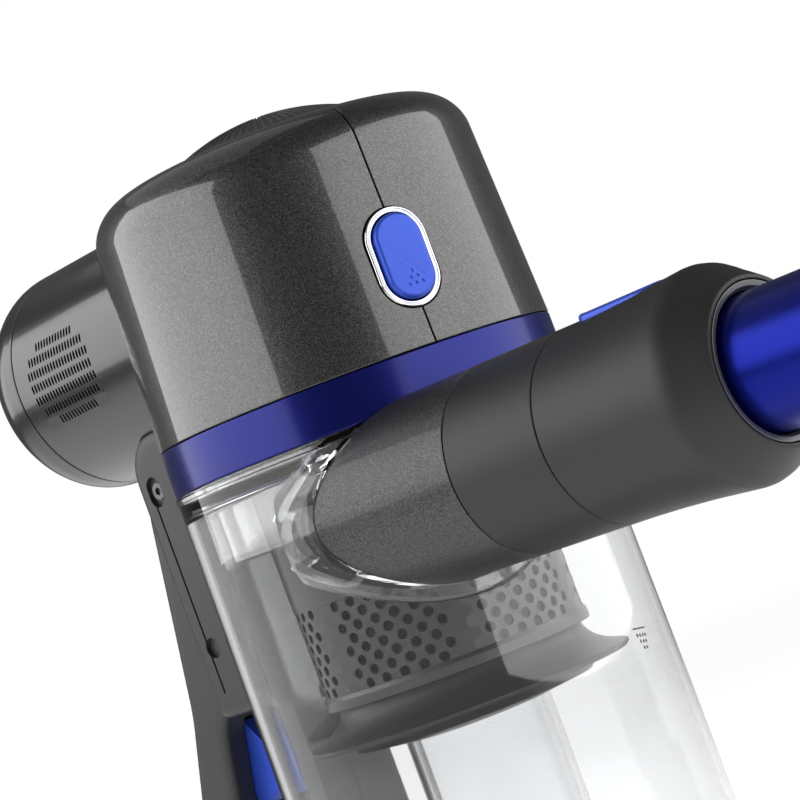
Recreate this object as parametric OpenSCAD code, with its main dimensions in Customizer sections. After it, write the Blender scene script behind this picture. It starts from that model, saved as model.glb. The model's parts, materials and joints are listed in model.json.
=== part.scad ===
// Cordless stick vacuum, hand unit: cyclone pod over a clear dust cup, side inlet pipe with wand,
// motor lying behind the pod, loop handle with trigger and a slide-on battery foot.
// +Z is up along the cup's axis and -Y is forward along the inlet pipe. The origin is the middle of the
// lid's underside, and the unit stands on the lid and the battery, both at Z = 0.

/* [Dust cup] */
// Outer radius of the clear cup at its top
cup_r = 60; // [54:0.5:68]
// How much the cup widens towards its bottom edge
cup_flare = 1.5; // [0:0.1:3]
// Height from the cup's bottom edge to the underside of the trim ring
cup_h = 185; // [165:1:210]
// Wall of the clear cup
cup_wall = 2.4; // [1.6:0.1:3]
// Thickness of the lid that closes the cup
lid_t = 6; // [5:0.5:9]

/* [Pod and trim ring] */
// Height of the trim ring
ring_h = 13.6; // [10:0.2:18]
// Height of the pod above the trim ring
pod_h = 73.4; // [72:0.2:95]
// Wall of the pod shells
pod_wall = 2.6; // [2:0.1:3.2]
// Radius of the pod's rounded top edge
pod_corner = 14; // [8:0.5:18]
// Direction of the pod's seam and button, turned from straight ahead
seam_turn = 19; // [10:1:28]
// Radius of the ribbed filter cap
cap_r = 32; // [28:0.5:34]
// Height of the filter cap's dome
cap_rise = 8.5; // [3:0.5:9]

/* [Pod button] */
// Height of the button's bezel
bezel_h = 28.2; // [24:0.2:34]
// Width of the button's bezel
bezel_w = 18.3; // [15:0.1:22]
// Face width of the bezel
bezel_rim = 1.7; // [1.2:0.1:2.4]
// How far the button stands out of the pod
button_proud = 2.2; // [1:0.1:3]
// Travel of the button
button_travel = 2.5; // [1.5:0.1:3]

/* [Inlet pipe] */
// Outer radius of the inlet pipe
pipe_r = 26; // [23:0.5:28]
// Wall of the inlet pipe
pipe_wall = 2.6; // [2:0.1:3.2]
// Sideways offset of the pipe from the cup's axis
pipe_x = 30; // [26:0.5:33]
// Drop of the pipe's axis below the trim ring
pipe_drop = 23; // [22:0.5:30]
// Length of the painted pipe, from the cup's axis
pipe_end = 80; // [74:1:95]
// Length of the plain sleeve
sleeve_l = 33; // [26:1:42]
// Length of the collar that holds the wand
collar_l = 55; // [50:1:70]
// How much the collar swells before its nose
collar_swell = 1.8; // [0:0.1:2.5]

/* [Wand] */
// Outer radius of the wand tube
wand_r = 17.25; // [15:0.25:18]
// Wall of the wand tube
wand_wall = 1.2; // [0.8:0.1:2]
// Length of wand that sits inside the socket
wand_grip = 38; // [30:1:42]
// Length of bare wand tube in front of the collar
wand_show = 96; // [60:1:300]
// Length of the coupling on the wand's free end
coupling_l = 40; // [34:1:60]
// Depth of the coupling's open socket
coupling_bore = 30; // [20:1:32]

/* [Shroud and cyclone] */
// Outer radius of the shroud
shroud_r = 39.5; // [34:0.5:42]
// Height of the shroud below the trim ring
shroud_h = 72; // [60:1:90]
// Radius of the skirt's rim
skirt_r = 48.3; // [44:0.1:50]
// Radius of the clear guide wall inside the cup
guide_r = 50.4; // [49:0.1:50.6]
// Depth of the guide wall below the trim ring
guide_h = 23; // [16:1:30]
// Outer radius of the fine dust tube
dust_tube_r = 22; // [18:0.5:24]
// Windows in the shroud
windows = 6; // [4:1:8]
// Height of the shroud's windows
window_h = 26.5; // [20:0.5:34]

/* [Motor] */
// Outer radius of the motor housing
motor_r = 36; // [33:0.5:38]
// Height of the motor's axis above the trim ring's underside
motor_rise = 49; // [46:0.5:54]
// Distance from the cup's axis to the rear face of the motor
motor_end = 127; // [122:1:140]
// Radius of the rounded rear edge
motor_corner = 16; // [8:0.5:18]
// Wall of the motor housing
motor_wall = 2.5; // [2:0.1:3]
// Rows of slots on each side
grille_rows = 7; // [3:1:8]
// Slots in a row
grille_cols = 13; // [6:1:14]

/* [Handle] */
// Half of the spine's width
spine_w = 26; // [24:0.5:28]
// Half of the grip's width
grip_w = 16; // [13:0.5:18]
// Wall of the handle shells
grip_wall = 2.6; // [2:0.1:3]
// Depth of the spine behind the cup at the neck
spine_d = 20; // [18:0.5:24]
// Depth of the thin pillar beside the finger loop
pillar_d = 11.5; // [10:0.5:14]
// Travel of the trigger in degrees
trigger_turn = 10; // [6:1:12]

/* [Battery] */
// Height of the battery
batt_h = 42; // [41.5:0.1:46]
// Length of the battery
batt_l = 94; // [88:1:110]
// Half of the battery's width
batt_w = 34; // [32:0.5:40]
// Wall of the battery's case
batt_wall = 2.4; // [2:0.1:2.8]
// Height of the dock that the battery slides into
dock_h = 10; // [9:0.5:12]

/* [Fits] */
// Gap between moving curved faces
run = 0.4; // [0.3:0.05:0.6]
// Gap between pieces that stay together
fit = 0.2; // [0.1:0.05:0.3]
// Gap at a visible seam
seam = 0.3; // [0.2:0.05:0.5]
// Gap around a hinge pin
pin_gap = 0.05; // [0.03:0.01:0.1]

/* [Hidden] */

$fn = 72;
eps = 0.01;
far = 200;

cup_z = lid_t + fit;
ring_z = cup_z + cup_h;
pod_z = ring_z + ring_h;
pod_top = pod_z + pod_h;
ring_r = cup_r - 0.4;
ring_in = ring_r - 4.6;
neck_r = ring_in - run;
neck_h = 8;
pod_r0 = ring_r - 0.1;
pod_r1 = pod_r0 - 2.3;
pod_crown = 1.5;
pod_mid = pod_r0 - (pod_r0 - pod_r1) * 0.35;
pod_hole = cap_r + run;

button_z = ring_z + 38.4;
button_h = bezel_h - 2 * bezel_rim - 2 * run;
button_w = bezel_w - 2 * bezel_rim - 2 * run;
button_out = pod_mid + button_proud;
button_in = pod_mid - 8;
spring_l = 5.5 + button_travel;

well_r = cap_r - 2;
well_wall = 2;
well_h = 34;
well_top = pod_top - 8;
cap_z = pod_top - 0.4;
core_r = well_r - well_wall - 3;

pipe_z = ring_z - pipe_drop;
pipe_in = pipe_r - pipe_wall;
spigot_r = pipe_r + 4.5;
spigot_reach = cup_r + 1.8;
sleeve_end = pipe_end + sleeve_l;
collar_y = sleeve_end + seam;
mouth_y = collar_y + collar_l;
socket_in = wand_r + run;
socket_out = socket_in + 2.1;
mouth_r = socket_out + fit;
collar_in = max(pipe_in, mouth_r + fit);
collar_out = max(pipe_r, collar_in + pipe_wall);
collar_max = collar_out + collar_swell;
release_l = 28;
release_w = 12;
release_y = collar_y + 5;
release_proud = 1.5;
release_travel = 1.2;
release_low = socket_out + release_travel + 1.6;
wand_in_y = mouth_y - wand_grip;
wand_out_y = mouth_y + wand_show;
coupling_y = wand_out_y + coupling_bore;
coupling_r = wand_r + 3.4;

cup_r1 = cup_r + cup_flare;
lid_r = cup_r1 + 0.5;
lid_pin_r = 1.6;
knuckle_r = 3.6;
hinge_y = cup_r1 + knuckle_r + 1.4;
hinge_z = knuckle_r;
knuckle_l = 12;
latch_z = cup_z + 9;
latch_y = cup_r1 + 3.4;

shroud_z = ring_z - shroud_h;
window_foot = 3.5;
shroud_t = 1.9;
screen_t = 0.8;
skirt_drop = 9.4;
deck_z = pod_z + fit;
deck_t = 4;
cones = 8;
cone_ring = 29;

motor_z = ring_z + motor_rise;
motor_split = motor_end - motor_corner - 5;
motor_front = 44;
motor_in = motor_r - motor_wall;
grille_pitch_y = 2.15;
grille_pitch_z = 4;
grille_y = 82;
slot_w = 1;
slot_h = 2.6;
shaft_r = 2.5;
impeller_r = 24;
mode_r = 7;

spine_y0 = cup_r1 + 0.9;
spine_y1 = cup_r + spine_d;
strip_y = spine_y1 - 6;
neck_top = ring_z + 24;
neck_round = 14;
web_z = ring_z - 66;
dock_z = batt_h + fit;
dock_top = dock_z + dock_h;
pillar_y1 = spine_y0 + pillar_d;
grip_y = [for (back = [13, 27, 39, 66]) spine_y1 + back];
grip_z = [ring_z, ring_z - 62, ring_z - 92, dock_top];
grip_t = 31;
pad_w = 10;
pad_t = 2.2;
hole_y1 = grip_y[2] - grip_t + 4;
trig_z = web_z - 6;
trig_y = hole_y1 + 5;
switch_y = trig_y + 5.1 + 20 * sin(trigger_turn);
switch_size = [5.6, 4.2, 9];
trig_w = 7;
trig_pin_r = 1.5;
batt_y = lid_r + 14.5;
batt_r = 8;
cell_r = 9.15;
cell_l = 65;
cell_pitch = 18.6;
screw_r = 2.6;
screw_l = 3.6;
screw_sink = 0.8;

blue = [0.05, 0.1, 0.55];
dark_paint = [0.2, 0.2, 0.21];
black = [0.08, 0.08, 0.09];
clear = [0.85, 0.9, 0.95, 0.35];
steel = [0.65, 0.65, 0.68];
grey = [0.25, 0.25, 0.27];

// Points of an arc from angle a0 to a1
function arc(cx, cy, r, a0, a1, n = 8) =
  [for (i = [0:n]) [cx + r * cos(a0 + (a1 - a0) * i / n), cy + r * sin(a0 + (a1 - a0) * i / n)]];

// Half outline of the pod, drawn in by inset
function pod_outline(inset) = concat(
  [[0, 0], [pod_r0 - inset, 0]],
  arc(pod_r1 - pod_corner, pod_h - pod_crown - pod_corner, pod_corner - inset, 0, 78),
  [[cap_r + 4, pod_h - 0.7 - inset], [0, pod_h - inset]]);

// Side outline of the spine behind the cup, drawn in by inset
function spine_outline(inset) = concat(
  [[0, web_z + inset], [spine_y1 - inset, web_z + inset]],
  arc(spine_y1 - neck_round, neck_top - neck_round, neck_round - inset, 0, 90),
  [[0, neck_top - inset]]);

// Side outline of the leaning grip, drawn in by inset
function grip_outline(inset) = [
  [spine_y1 - 8, grip_z[0] + 8 - inset],
  [grip_y[0] - 3 - inset, grip_z[0] + 8 - inset],
  [grip_y[0] - inset, grip_z[0]],
  [grip_y[1] - inset, grip_z[1]],
  [grip_y[2] - inset, grip_z[2]],
  [grip_y[3] - inset, grip_z[3] - 2],
  [grip_y[3] - grip_t + inset, grip_z[3] - 2],
  [hole_y1 + inset, web_z + 2],
  [spine_y1 - 8, web_z + 14 + inset]];

module stadium(h, w) {
  square([w, h - w], center = true);
  for (s = [-1, 1]) translate([0, s * (h - w) / 2]) circle(d = w);
}

module rounded_rect(w, l, r) {
  square([w - 2 * r, l], center = true);
  square([w, l - 2 * r], center = true);
  for (x = [-1, 1], y = [-1, 1]) translate([x * (w / 2 - r), y * (l / 2 - r)]) circle(r);
}

// Cylinder that runs forward along -Y from y0 to y1 at the pipe's axis
module pipe_bar(r, y0, y1) {
  translate([-pipe_x, -y0, pipe_z]) rotate([90, 0, 0]) cylinder(r = r, h = y1 - y0);
}

// Cylinder that runs back along +Y from y0 to y1 at the motor's axis
module motor_bar(r, y0, y1) {
  translate([0, y1, motor_z]) rotate([90, 0, 0]) cylinder(r = r, h = y1 - y0);
}

// Places children at the pod button, with their Z axis pointing out of the pod
module at_button() {
  translate([0, 0, button_z]) rotate([0, 0, -seam_turn]) rotate([90, 0, 0]) children();
}

// Coil spring along +Z
module coil(r, wire, turns, h) {
  sides = 8;
  rings = 14 * turns;
  points = [for (i = [0:rings], k = [0:sides - 1])
    let (a = 360 * turns * i / rings, b = 360 * k / sides, q = r + wire * cos(b))
    [q * cos(a), q * sin(a), wire + (h - 2 * wire) * i / rings + wire * sin(b)]];
  faces = concat(
    [[for (k = [0:sides - 1]) k]],
    [for (i = [0:rings - 1], k = [0:sides - 1])
      [i * sides + k, (i + 1) * sides + k, (i + 1) * sides + (k + 1) % sides, i * sides + (k + 1) % sides]],
    [[for (k = [sides - 1:-1:0]) rings * sides + k]]);
  polyhedron(points, faces, convexity = 6);
}

module pod_half(side) {
  difference() {
    translate([0, 0, pod_z + fit]) rotate_extrude() difference() {
      polygon(pod_outline(0));
      translate([0, -eps]) polygon(pod_outline(pod_wall));
      translate([0, pod_h / 2]) square([pod_hole, pod_h]);
    }
    rotate([0, 0, -seam_turn]) translate([side > 0 ? -far : -seam / 2, -far, 0])
      cube([far + (side > 0 ? seam / 2 : 0), 2 * far, 2 * far]);
    motor_bar(motor_r + fit, 20, far);
    at_button() translate([0, 0, 30]) linear_extrude(far) stadium(bezel_h + 2 * fit, bezel_w + 2 * fit);
  }
}

module pod_shell_left() { color(dark_paint) pod_half(-1); }

module pod_shell_right() { color(dark_paint) pod_half(1); }

module trim_ring() {
  color(blue) translate([0, 0, ring_z]) difference() {
    cylinder(r1 = ring_r, r2 = ring_r - 0.1, h = ring_h);
    translate([0, 0, -eps]) cylinder(r = ring_in, h = ring_h + 1);
  }
}

module button_bezel() {
  color(steel) intersection() {
    at_button() translate([0, 0, button_in + 1]) linear_extrude(20) difference() {
      stadium(bezel_h, bezel_w);
      stadium(bezel_h - 2 * bezel_rim, bezel_w - 2 * bezel_rim);
    }
    cylinder(r = pod_mid + 0.5, h = 2 * far);
  }
}

module pod_button() {
  color(blue) {
    intersection() {
      at_button() translate([0, 0, button_in]) linear_extrude(20) stadium(button_h, button_w);
      cylinder(r = button_out, h = 2 * far);
    }
    at_button() translate([0, 0, button_in - 3]) cylinder(r = 2.2, h = 4);
  }
}

module button_spring() {
  color(steel) at_button() translate([0, 0, button_in - spring_l]) coil(3.4, 0.45, 4, spring_l);
}

module filter_cap() {
  dome_r = (cap_r * cap_r + cap_rise * cap_rise) / (2 * cap_rise);
  dome_a = asin(cap_r / dome_r);
  color(grey) translate([0, 0, cap_z]) {
    rotate_extrude() polygon(concat(
      [[0, -2.4], [cap_r, -2.4]],
      arc(0, cap_rise - dome_r, dome_r, 90 - dome_a, 90)));
    translate([0, 0, -12]) difference() {
      cylinder(r = well_r - well_wall - run, h = 10);
      translate([0, 0, -eps]) cylinder(r = well_r - well_wall - run - 2, h = 10 + 2 * eps);
    }
  }
}

module filter_seal() {
  color(black) translate([0, 0, cap_z - 14.2]) difference() {
    cylinder(r = well_r - well_wall - run, h = 2);
    translate([0, 0, -eps]) cylinder(r = core_r + 0.4, h = 3);
  }
}

module filter_core() {
  pleats = 32;
  color("white") translate([0, 0, well_top - well_h + 6]) linear_extrude(well_h - 13) difference() {
    polygon([for (i = [0:2 * pleats - 1])
      (core_r - (i % 2) * 3) * [cos(180 * i / pleats), sin(180 * i / pleats)]]);
    circle(core_r - 6);
  }
}

module filter_well() {
  color(black) translate([0, 0, well_top - well_h]) difference() {
    union() {
      cylinder(r = well_r, h = well_h);
      translate([0, 0, well_h - 3]) cylinder(r = cap_r + 5, h = 3);
    }
    translate([0, 0, 3]) cylinder(r = well_r - well_wall, h = well_h);
    translate([0, 0, -1]) cylinder(r = 14, h = 10);
  }
}

// Deck of small cyclones under the pod
module cone_cluster() {
  cone_h = well_top - well_h - deck_z - deck_t - 2;
  color(grey) difference() {
    union() {
      translate([0, 0, deck_z]) cylinder(r = ring_in - 1, h = deck_t);
      for (i = [0:cones - 1]) rotate([0, 0, (i + 0.5) * 360 / cones])
        translate([cone_ring, 0, deck_z + eps]) cylinder(r1 = 5, r2 = 9, h = cone_h + deck_t);
    }
    for (i = [0:cones - 1]) rotate([0, 0, (i + 0.5) * 360 / cones])
      translate([cone_ring, 0, deck_z - 1]) cylinder(r1 = 3.4, r2 = 7.6, h = cone_h + deck_t + 2);
    translate([0, 0, deck_z - 1]) cylinder(r = 12, h = deck_t + 2);
    motor_bar(motor_r + fit, motor_front - 2, far);
  }
}

module dust_cup() {
  color(clear) {
    difference() {
      union() {
        rotate_extrude() polygon([
          [cup_r1 - cup_wall, cup_z], [cup_r1, cup_z],
          [cup_r - 0.2, ring_z - 2], [cup_r + 0.2, ring_z - 2], [cup_r + 0.2, ring_z - fit],
          [neck_r, ring_z - fit], [neck_r, ring_z + neck_h], [neck_r - cup_wall, ring_z + neck_h],
          [neck_r - cup_wall, ring_z - 3], [cup_r - cup_wall, ring_z - 7]]);
        spigot();
        for (x = [-1, 1]) translate([x * (knuckle_l + seam) - knuckle_l / 2, 0, 0]) hinge_arm();
        for (x = [-1, 1]) latch_ear(x);
      }
      pipe_bar(pipe_r + fit, 10, far);
      translate([-far, hinge_y, hinge_z]) rotate([0, 90, 0]) cylinder(r = lid_pin_r, h = 2 * far);
      translate([-far, -latch_y, latch_z]) rotate([0, 90, 0]) cylinder(r = lid_pin_r, h = 2 * far);
    }
  }
}

// Clear lip round the root of the pipe
module spigot() {
  intersection() {
    pipe_bar(spigot_r, 16, far);
    translate([0, 0, cup_z + 20]) difference() {
      cylinder(r = spigot_reach, h = cup_h - 20 - fit - 2);
      translate([0, 0, -1]) cylinder(r = cup_r - 1, h = cup_h + 2);
    }
  }
}

// Arm on the cup's rear that carries the lid's pin
module hinge_arm() {
  difference() {
    union() {
      translate([0, hinge_y, hinge_z]) rotate([0, 90, 0]) cylinder(r = knuckle_r, h = knuckle_l);
      translate([0, cup_r1 - 1.6, cup_z]) cube([knuckle_l, hinge_y - cup_r1 + 1.6 + knuckle_r, 6]);
      translate([0, hinge_y, hinge_z]) cube([knuckle_l, knuckle_r, cup_z - hinge_z + 1]);
    }
    cylinder(r = cup_r1 - 0.8, h = far);
  }
}

// Ear on the cup's front that carries the latch's pin
module latch_ear(side) {
  difference() {
    translate([side > 0 ? 6 + seam : -9 - seam, -latch_y - 3, latch_z - 3]) cube([3, 8, 6]);
    cylinder(r = cup_r1 - 0.8, h = far);
  }
}

module cup_lid() {
  color(grey) difference() {
    union() {
      cylinder(r = lid_r, h = lid_t);
      translate([-knuckle_l / 2, hinge_y, hinge_z]) rotate([0, 90, 0])
        cylinder(r = knuckle_r, h = knuckle_l);
      translate([-knuckle_l / 2, lid_r - 3, 0]) cube([knuckle_l, hinge_y - lid_r + 3, lid_t - 1]);
      translate([-4, -lid_r - 2.5, 0]) cube([8, 4, 3]);
    }
    translate([0, 0, lid_t / 2]) cylinder(r = cup_r1 - cup_wall - 1, h = lid_t);
    translate([-far, hinge_y, hinge_z]) rotate([0, 90, 0]) cylinder(r = lid_pin_r + pin_gap, h = 2 * far);
  }
}

module lid_seal() {
  color(black) translate([0, 0, cup_z]) difference() {
    cylinder(r = cup_r1 - cup_wall - run, h = 2.5);
    translate([0, 0, -1]) cylinder(r = cup_r1 - cup_wall - 3, h = 5);
  }
}

module lid_hinge_pin() {
  color(steel) translate([-knuckle_l * 1.5 - seam, hinge_y, hinge_z]) rotate([0, 90, 0])
    cylinder(r = lid_pin_r, h = 3 * knuckle_l + 2 * seam);
}

// Rocking latch in front of the lid's tab
module lid_latch() {
  color(blue) difference() {
    union() {
      translate([-6, -latch_y - 3.2, latch_z - 4]) cube([12, 4.4, 22]);
      translate([-6, -latch_y - 3.2, 0.6]) cube([12, 2.6, latch_z - 0.6]);
    }
    translate([-far, -latch_y, latch_z]) rotate([0, 90, 0]) cylinder(r = lid_pin_r + pin_gap, h = 2 * far);
    translate([0, 0, latch_z]) cylinder(r = cup_r1 + 1, h = far);
  }
}

module latch_pin() {
  color(steel) translate([-9 - seam, -latch_y, latch_z]) rotate([0, 90, 0])
    cylinder(r = lid_pin_r, h = 18 + 2 * seam);
}

module latch_spring() {
  color(steel) translate([0, -cup_r1 - 2.2, latch_z + 13]) rotate([-90, 0, 0]) coil(2.4, 0.2, 2, 1.9);
}

module inlet_guide() {
  color(clear) translate([0, 0, ring_z - guide_h]) difference() {
    cylinder(r = guide_r, h = guide_h + ring_h - fit);
    translate([0, 0, -1]) cylinder(r = guide_r - 1.4, h = guide_h + far);
  }
}

module shroud_frame() {
  window_w = 2 * shroud_r * sin(180 / windows) * 0.8;
  color(grey) difference() {
    translate([0, 0, shroud_z]) cylinder(r = shroud_r, h = shroud_h + ring_h - fit);
    translate([0, 0, shroud_z - 1]) cylinder(r = shroud_r - shroud_t, h = far);
    for (i = [0:windows - 1]) rotate([0, 0, i * 360 / windows])
      translate([0, -window_w / 2, shroud_z + window_foot]) cube([far, window_w, window_h]);
  }
}

module shroud_screen() {
  r = shroud_r - shroud_t - fit;
  color(steel) translate([0, 0, shroud_z + 2]) difference() {
    cylinder(r = r, h = shroud_h + ring_h - 4);
    translate([0, 0, -1]) cylinder(r = r - screen_t, h = far);
  }
}

module shroud_skirt() {
  r0 = shroud_r - 2.5;
  color(black) translate([0, 0, shroud_z - fit]) rotate_extrude() polygon([
    [r0 - 3, 0], [r0, 0], [r0 + 1.5, -3], [r0 + 4.5, -6], [skirt_r - 0.6, -skirt_drop + 1],
    [skirt_r, -skirt_drop], [skirt_r - 0.8, -skirt_drop - 1.4], [r0 + 3, -skirt_drop + 0.6],
    [r0 - 1, -skirt_drop - 4], [dust_tube_r + fit, -skirt_drop - 6], [dust_tube_r + fit, -skirt_drop - 4],
    [r0 - 3, -5]]);
}

module fine_dust_tube() {
  color(clear) translate([0, 0, cup_z + 3]) difference() {
    cylinder(r = dust_tube_r, h = deck_z - cup_z - 3 - fit);
    translate([0, 0, -1]) cylinder(r = dust_tube_r - 2, h = far);
  }
}

module inlet_pipe() {
  color(dark_paint) difference() {
    pipe_bar(pipe_r, 10, pipe_end - seam / 2);
    pipe_bar(pipe_in, 0, far);
    translate([0, 0, pipe_z - 2 * pipe_r]) cylinder(r = cup_r - cup_wall + 0.6, h = far);
    translate([0, 0, ring_z - 1]) cylinder(r = cup_r + run + 0.2, h = far);
  }
}

module inlet_sleeve() {
  color(black) difference() {
    pipe_bar(pipe_r, pipe_end + seam / 2, sleeve_end);
    pipe_bar(pipe_in, 0, far);
  }
}

module inlet_collar() {
  nose = 10;
  color(black) difference() {
    translate([-pipe_x, -collar_y, pipe_z]) rotate([90, 0, 0]) rotate_extrude() polygon(concat(
      [[collar_in, 0], [collar_out, 0], [collar_out + 0.2, collar_l * 0.35],
        [collar_max, collar_l - nose - 8]],
      arc(collar_max - 5, collar_l - nose - 5, 5, 0, 50, 4),
      [[mouth_r + 1.4, collar_l], [mouth_r, collar_l], [mouth_r, collar_l - 8],
        [collar_in, collar_l - nose - 1]]));
    translate([-pipe_x, -release_y - release_l / 2, pipe_z]) linear_extrude(far)
      stadium(release_l + 2 * run, release_w + 2 * run);
  }
}

// Tube that the wand plugs into, with a flange that centres it in the collar
module wand_socket() {
  color(grey) difference() {
    union() {
      pipe_bar(socket_out, collar_y + 3, mouth_y - 2);
      pipe_bar(collar_in - fit, collar_y + 0.5, collar_y + 3.5);
    }
    pipe_bar(socket_in, wand_in_y - seam, far);
    pipe_bar(socket_in - 3, 0, far);
  }
}

module mouth_ring() {
  color(steel) difference() {
    pipe_bar(mouth_r - fit / 2, mouth_y - 2 + eps, mouth_y + 0.6);
    pipe_bar(socket_in, 0, far);
  }
}

module wand_release() {
  color(blue) difference() {
    translate([-pipe_x, -release_y - release_l / 2, pipe_z + release_low]) linear_extrude(6)
      stadium(release_l, release_w);
    difference() {
      pipe_bar(2 * pipe_r, release_y - 5, release_y + release_l + 5);
      pipe_bar(collar_out + release_proud, 0, far);
    }
  }
}

module release_spring() {
  color(steel) translate([-pipe_x, -release_y - release_l / 2, pipe_z + socket_out + 0.1])
    coil(2.6, 0.35, 2, release_low - socket_out - 0.2);
}

module wand_tube() {
  color(blue) difference() {
    pipe_bar(wand_r, wand_in_y, wand_out_y);
    pipe_bar(wand_r - wand_wall, 0, 2 * far);
  }
}

module wand_coupling() {
  lap = coupling_l - coupling_bore;
  color(black) difference() {
    pipe_bar(coupling_r, wand_out_y - lap, coupling_y);
    pipe_bar(wand_r, 0, wand_out_y + eps);
    pipe_bar(socket_in, wand_out_y, 2 * far);
  }
}

module motor_housing() {
  color(black) difference() {
    motor_bar(motor_r, motor_front, motor_split - seam / 2);
    motor_bar(motor_in, 0, far);
    difference() {
      translate([0, 0, pod_z - 1]) cylinder(r = pod_r0 - pod_wall - 1.5, h = far);
      translate([-far, motor_front + 4, 0]) cube([2 * far, far, 2 * far]);
    }
    grille_slots();
    translate([0, 0, ring_z - 1]) cylinder(r = cup_r, h = pod_z - ring_z + 1 + fit);
  }
}

// Rows of short slots on both sides of the housing, with every second row one slot shorter
module grille_slots() {
  for (row = [0:grille_rows - 1]) {
    n = grille_cols - (row % 2);
    z = motor_z + (row - (grille_rows - 1) / 2) * grille_pitch_z;
    for (col = [0:n - 1])
      translate([-far, grille_y + (col - (n - 1) / 2) * grille_pitch_y - slot_w / 2, z - slot_h / 2])
        cube([2 * far, slot_w, slot_h]);
  }
}

module motor_end_cap() {
  l = motor_end - motor_split - seam / 2;
  color(black) difference() {
    translate([0, motor_end, motor_z]) rotate([90, 0, 0]) rotate_extrude() polygon(concat(
      [[0, 0]], arc(motor_r - motor_corner, motor_corner, motor_corner, -90, 0),
      [[motor_r, l], [motor_in, l], [motor_in, motor_corner]],
      arc(motor_in - motor_corner + 2, motor_corner + 1, motor_corner - 2, 0, -80, 5),
      [[0, 3]]));
    motor_bar(mode_r + run, 0, far);
  }
}

module exhaust_filter() {
  color("white") difference() {
    motor_bar(motor_in - 1, motor_split - 14, motor_split - 3);
    motor_bar(motor_in - 9, 0, far);
  }
}

module motor_stator() {
  color(grey) difference() {
    motor_bar(21, motor_front + 20, motor_front + 42);
    motor_bar(12.5, 0, far);
  }
}

// Shaft, magnet core and impeller turn as one piece
module motor_rotor() {
  blades = 9;
  color(steel) {
    motor_bar(shaft_r, motor_front + 6, motor_front + 52);
    motor_bar(12, motor_front + 20, motor_front + 42);
    motor_bar(impeller_r, motor_front + 9, motor_front + 10.5);
    motor_bar(7, motor_front + 9, motor_front + 16);
    for (i = [0:blades - 1]) translate([0, motor_front + 10, motor_z]) rotate([0, i * 360 / blades, 0])
      translate([6, 0, -0.6]) cube([impeller_r - 7, 5, 1.2]);
  }
}

module motor_bearings() {
  color(steel) for (y = [motor_front + 17, motor_front + 44]) difference() {
    motor_bar(6.5, y, y + 2.6);
    motor_bar(shaft_r + pin_gap, 0, far);
  }
}

// Two webs that carry the stator and the bearings inside the housing
module motor_mount() {
  color(black) difference() {
    union() {
      motor_bar(motor_in - fit, motor_front + 17, motor_front + 19.6);
      motor_bar(motor_in - fit, motor_front + 44, motor_front + 46.6);
    }
    motor_bar(6.5 + fit, 0, far);
    for (i = [0:7]) translate([0, 0, motor_z]) rotate([0, i * 45, 0]) translate([18, 0, 0])
      rotate([-90, 0, 0]) cylinder(r = 4.5, h = far, $fn = 24);
  }
}

module control_board() {
  color("darkgreen") motor_bar(18, motor_split + 1, motor_split + 2.6);
}

module mode_button() {
  color(grey) {
    motor_bar(mode_r, motor_end - 4.5, motor_end + 0.8);
    motor_bar(mode_r + 2, motor_end - 6, motor_end - 4.5);
  }
}

// Extrudes a side outline, drawn as [y, z], to a half width either side of the middle
module side_extrude(half) {
  translate([-half, 0, 0]) rotate([90, 0, 90]) linear_extrude(2 * half) children();
}

// Solid outline of the whole handle, drawn in by inset
module handle_solid(inset) {
  intersection() {
    side_extrude(far) polygon(spine_outline(inset));
    linear_extrude(2 * far) polygon([
      [-spine_w + inset, 0], [spine_w - inset, 0], [spine_w - inset, strip_y],
      [grip_w + 2 - inset, spine_y1 + 1], [-grip_w - 2 + inset, spine_y1 + 1],
      [-spine_w + inset, strip_y]]);
  }
  translate([-grip_w + inset, 0, dock_top - 1])
    cube([2 * (grip_w - inset), pillar_y1 - inset, web_z - dock_top + 5]);
  side_extrude(grip_w - inset) polygon(grip_outline(inset));
}

module handle_half(side) {
  difference() {
    handle_solid(0);
    difference() {
      handle_solid(grip_wall);
      cylinder(r = spine_y0 + grip_wall, h = 2 * far);
      motor_bar(motor_r + fit + grip_wall, 0, far);
    }
    translate([side > 0 ? -far : -fit / 2, -far, -1])
      cube([far + (side > 0 ? fit / 2 : 0), 2 * far, 3 * far]);
    cylinder(r = spine_y0, h = ring_z + fit);
    translate([0, 0, ring_z]) cylinder(r = cup_r + fit, h = far);
    motor_bar(motor_r + fit, 0, far);
    pad_shape(fit);
    side_extrude(trig_w + run) translate([trig_y - 25, trig_z - 27]) square([33.2, 31]);
    pin_shape();
    translate([-far, -far, 0]) cube([2 * far, 2 * far, dock_top + fit]);
    for (p = screw_places()) translate([side * far, p[0], p[1]]) rotate([0, -side * 90, 0])
      cylinder(r = screw_r + fit, h = far - p[2] + screw_sink + screw_l + fit);
    switch_shape(fit);
  }
}

// Screws as [y, z, half width of the handle there]
function screw_places() = [
  [strip_y - 3, ring_z + 6, spine_w],
  [grip_y[1] - 12, grip_z[1] + 4, grip_w],
  [grip_y[3] - grip_t / 2 - 4, grip_z[3] + 12, grip_w]];

module handle_left() { color(grey) handle_half(-1); }

module handle_right() { color(grey) handle_half(1); }

// Soft strip down the back of the grip
module pad_shape(gap) {
  side_extrude(pad_w + gap) polygon([
    [grip_y[0] - pad_t - gap, grip_z[0] - 6 + gap], [grip_y[0] + 3, grip_z[0] - 6 + gap],
    [grip_y[1] + 0.6 + gap, grip_z[1]], [grip_y[2] + 0.6 + gap, grip_z[2]],
    [grip_y[3] - 6 + gap, grip_z[3] + 14 - gap], [grip_y[3] - 9 - pad_t - gap, grip_z[3] + 14 - gap],
    [grip_y[2] - pad_t - gap, grip_z[2]], [grip_y[1] - pad_t - gap, grip_z[1]]]);
}

module grip_pad() { color(black) pad_shape(0); }

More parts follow.
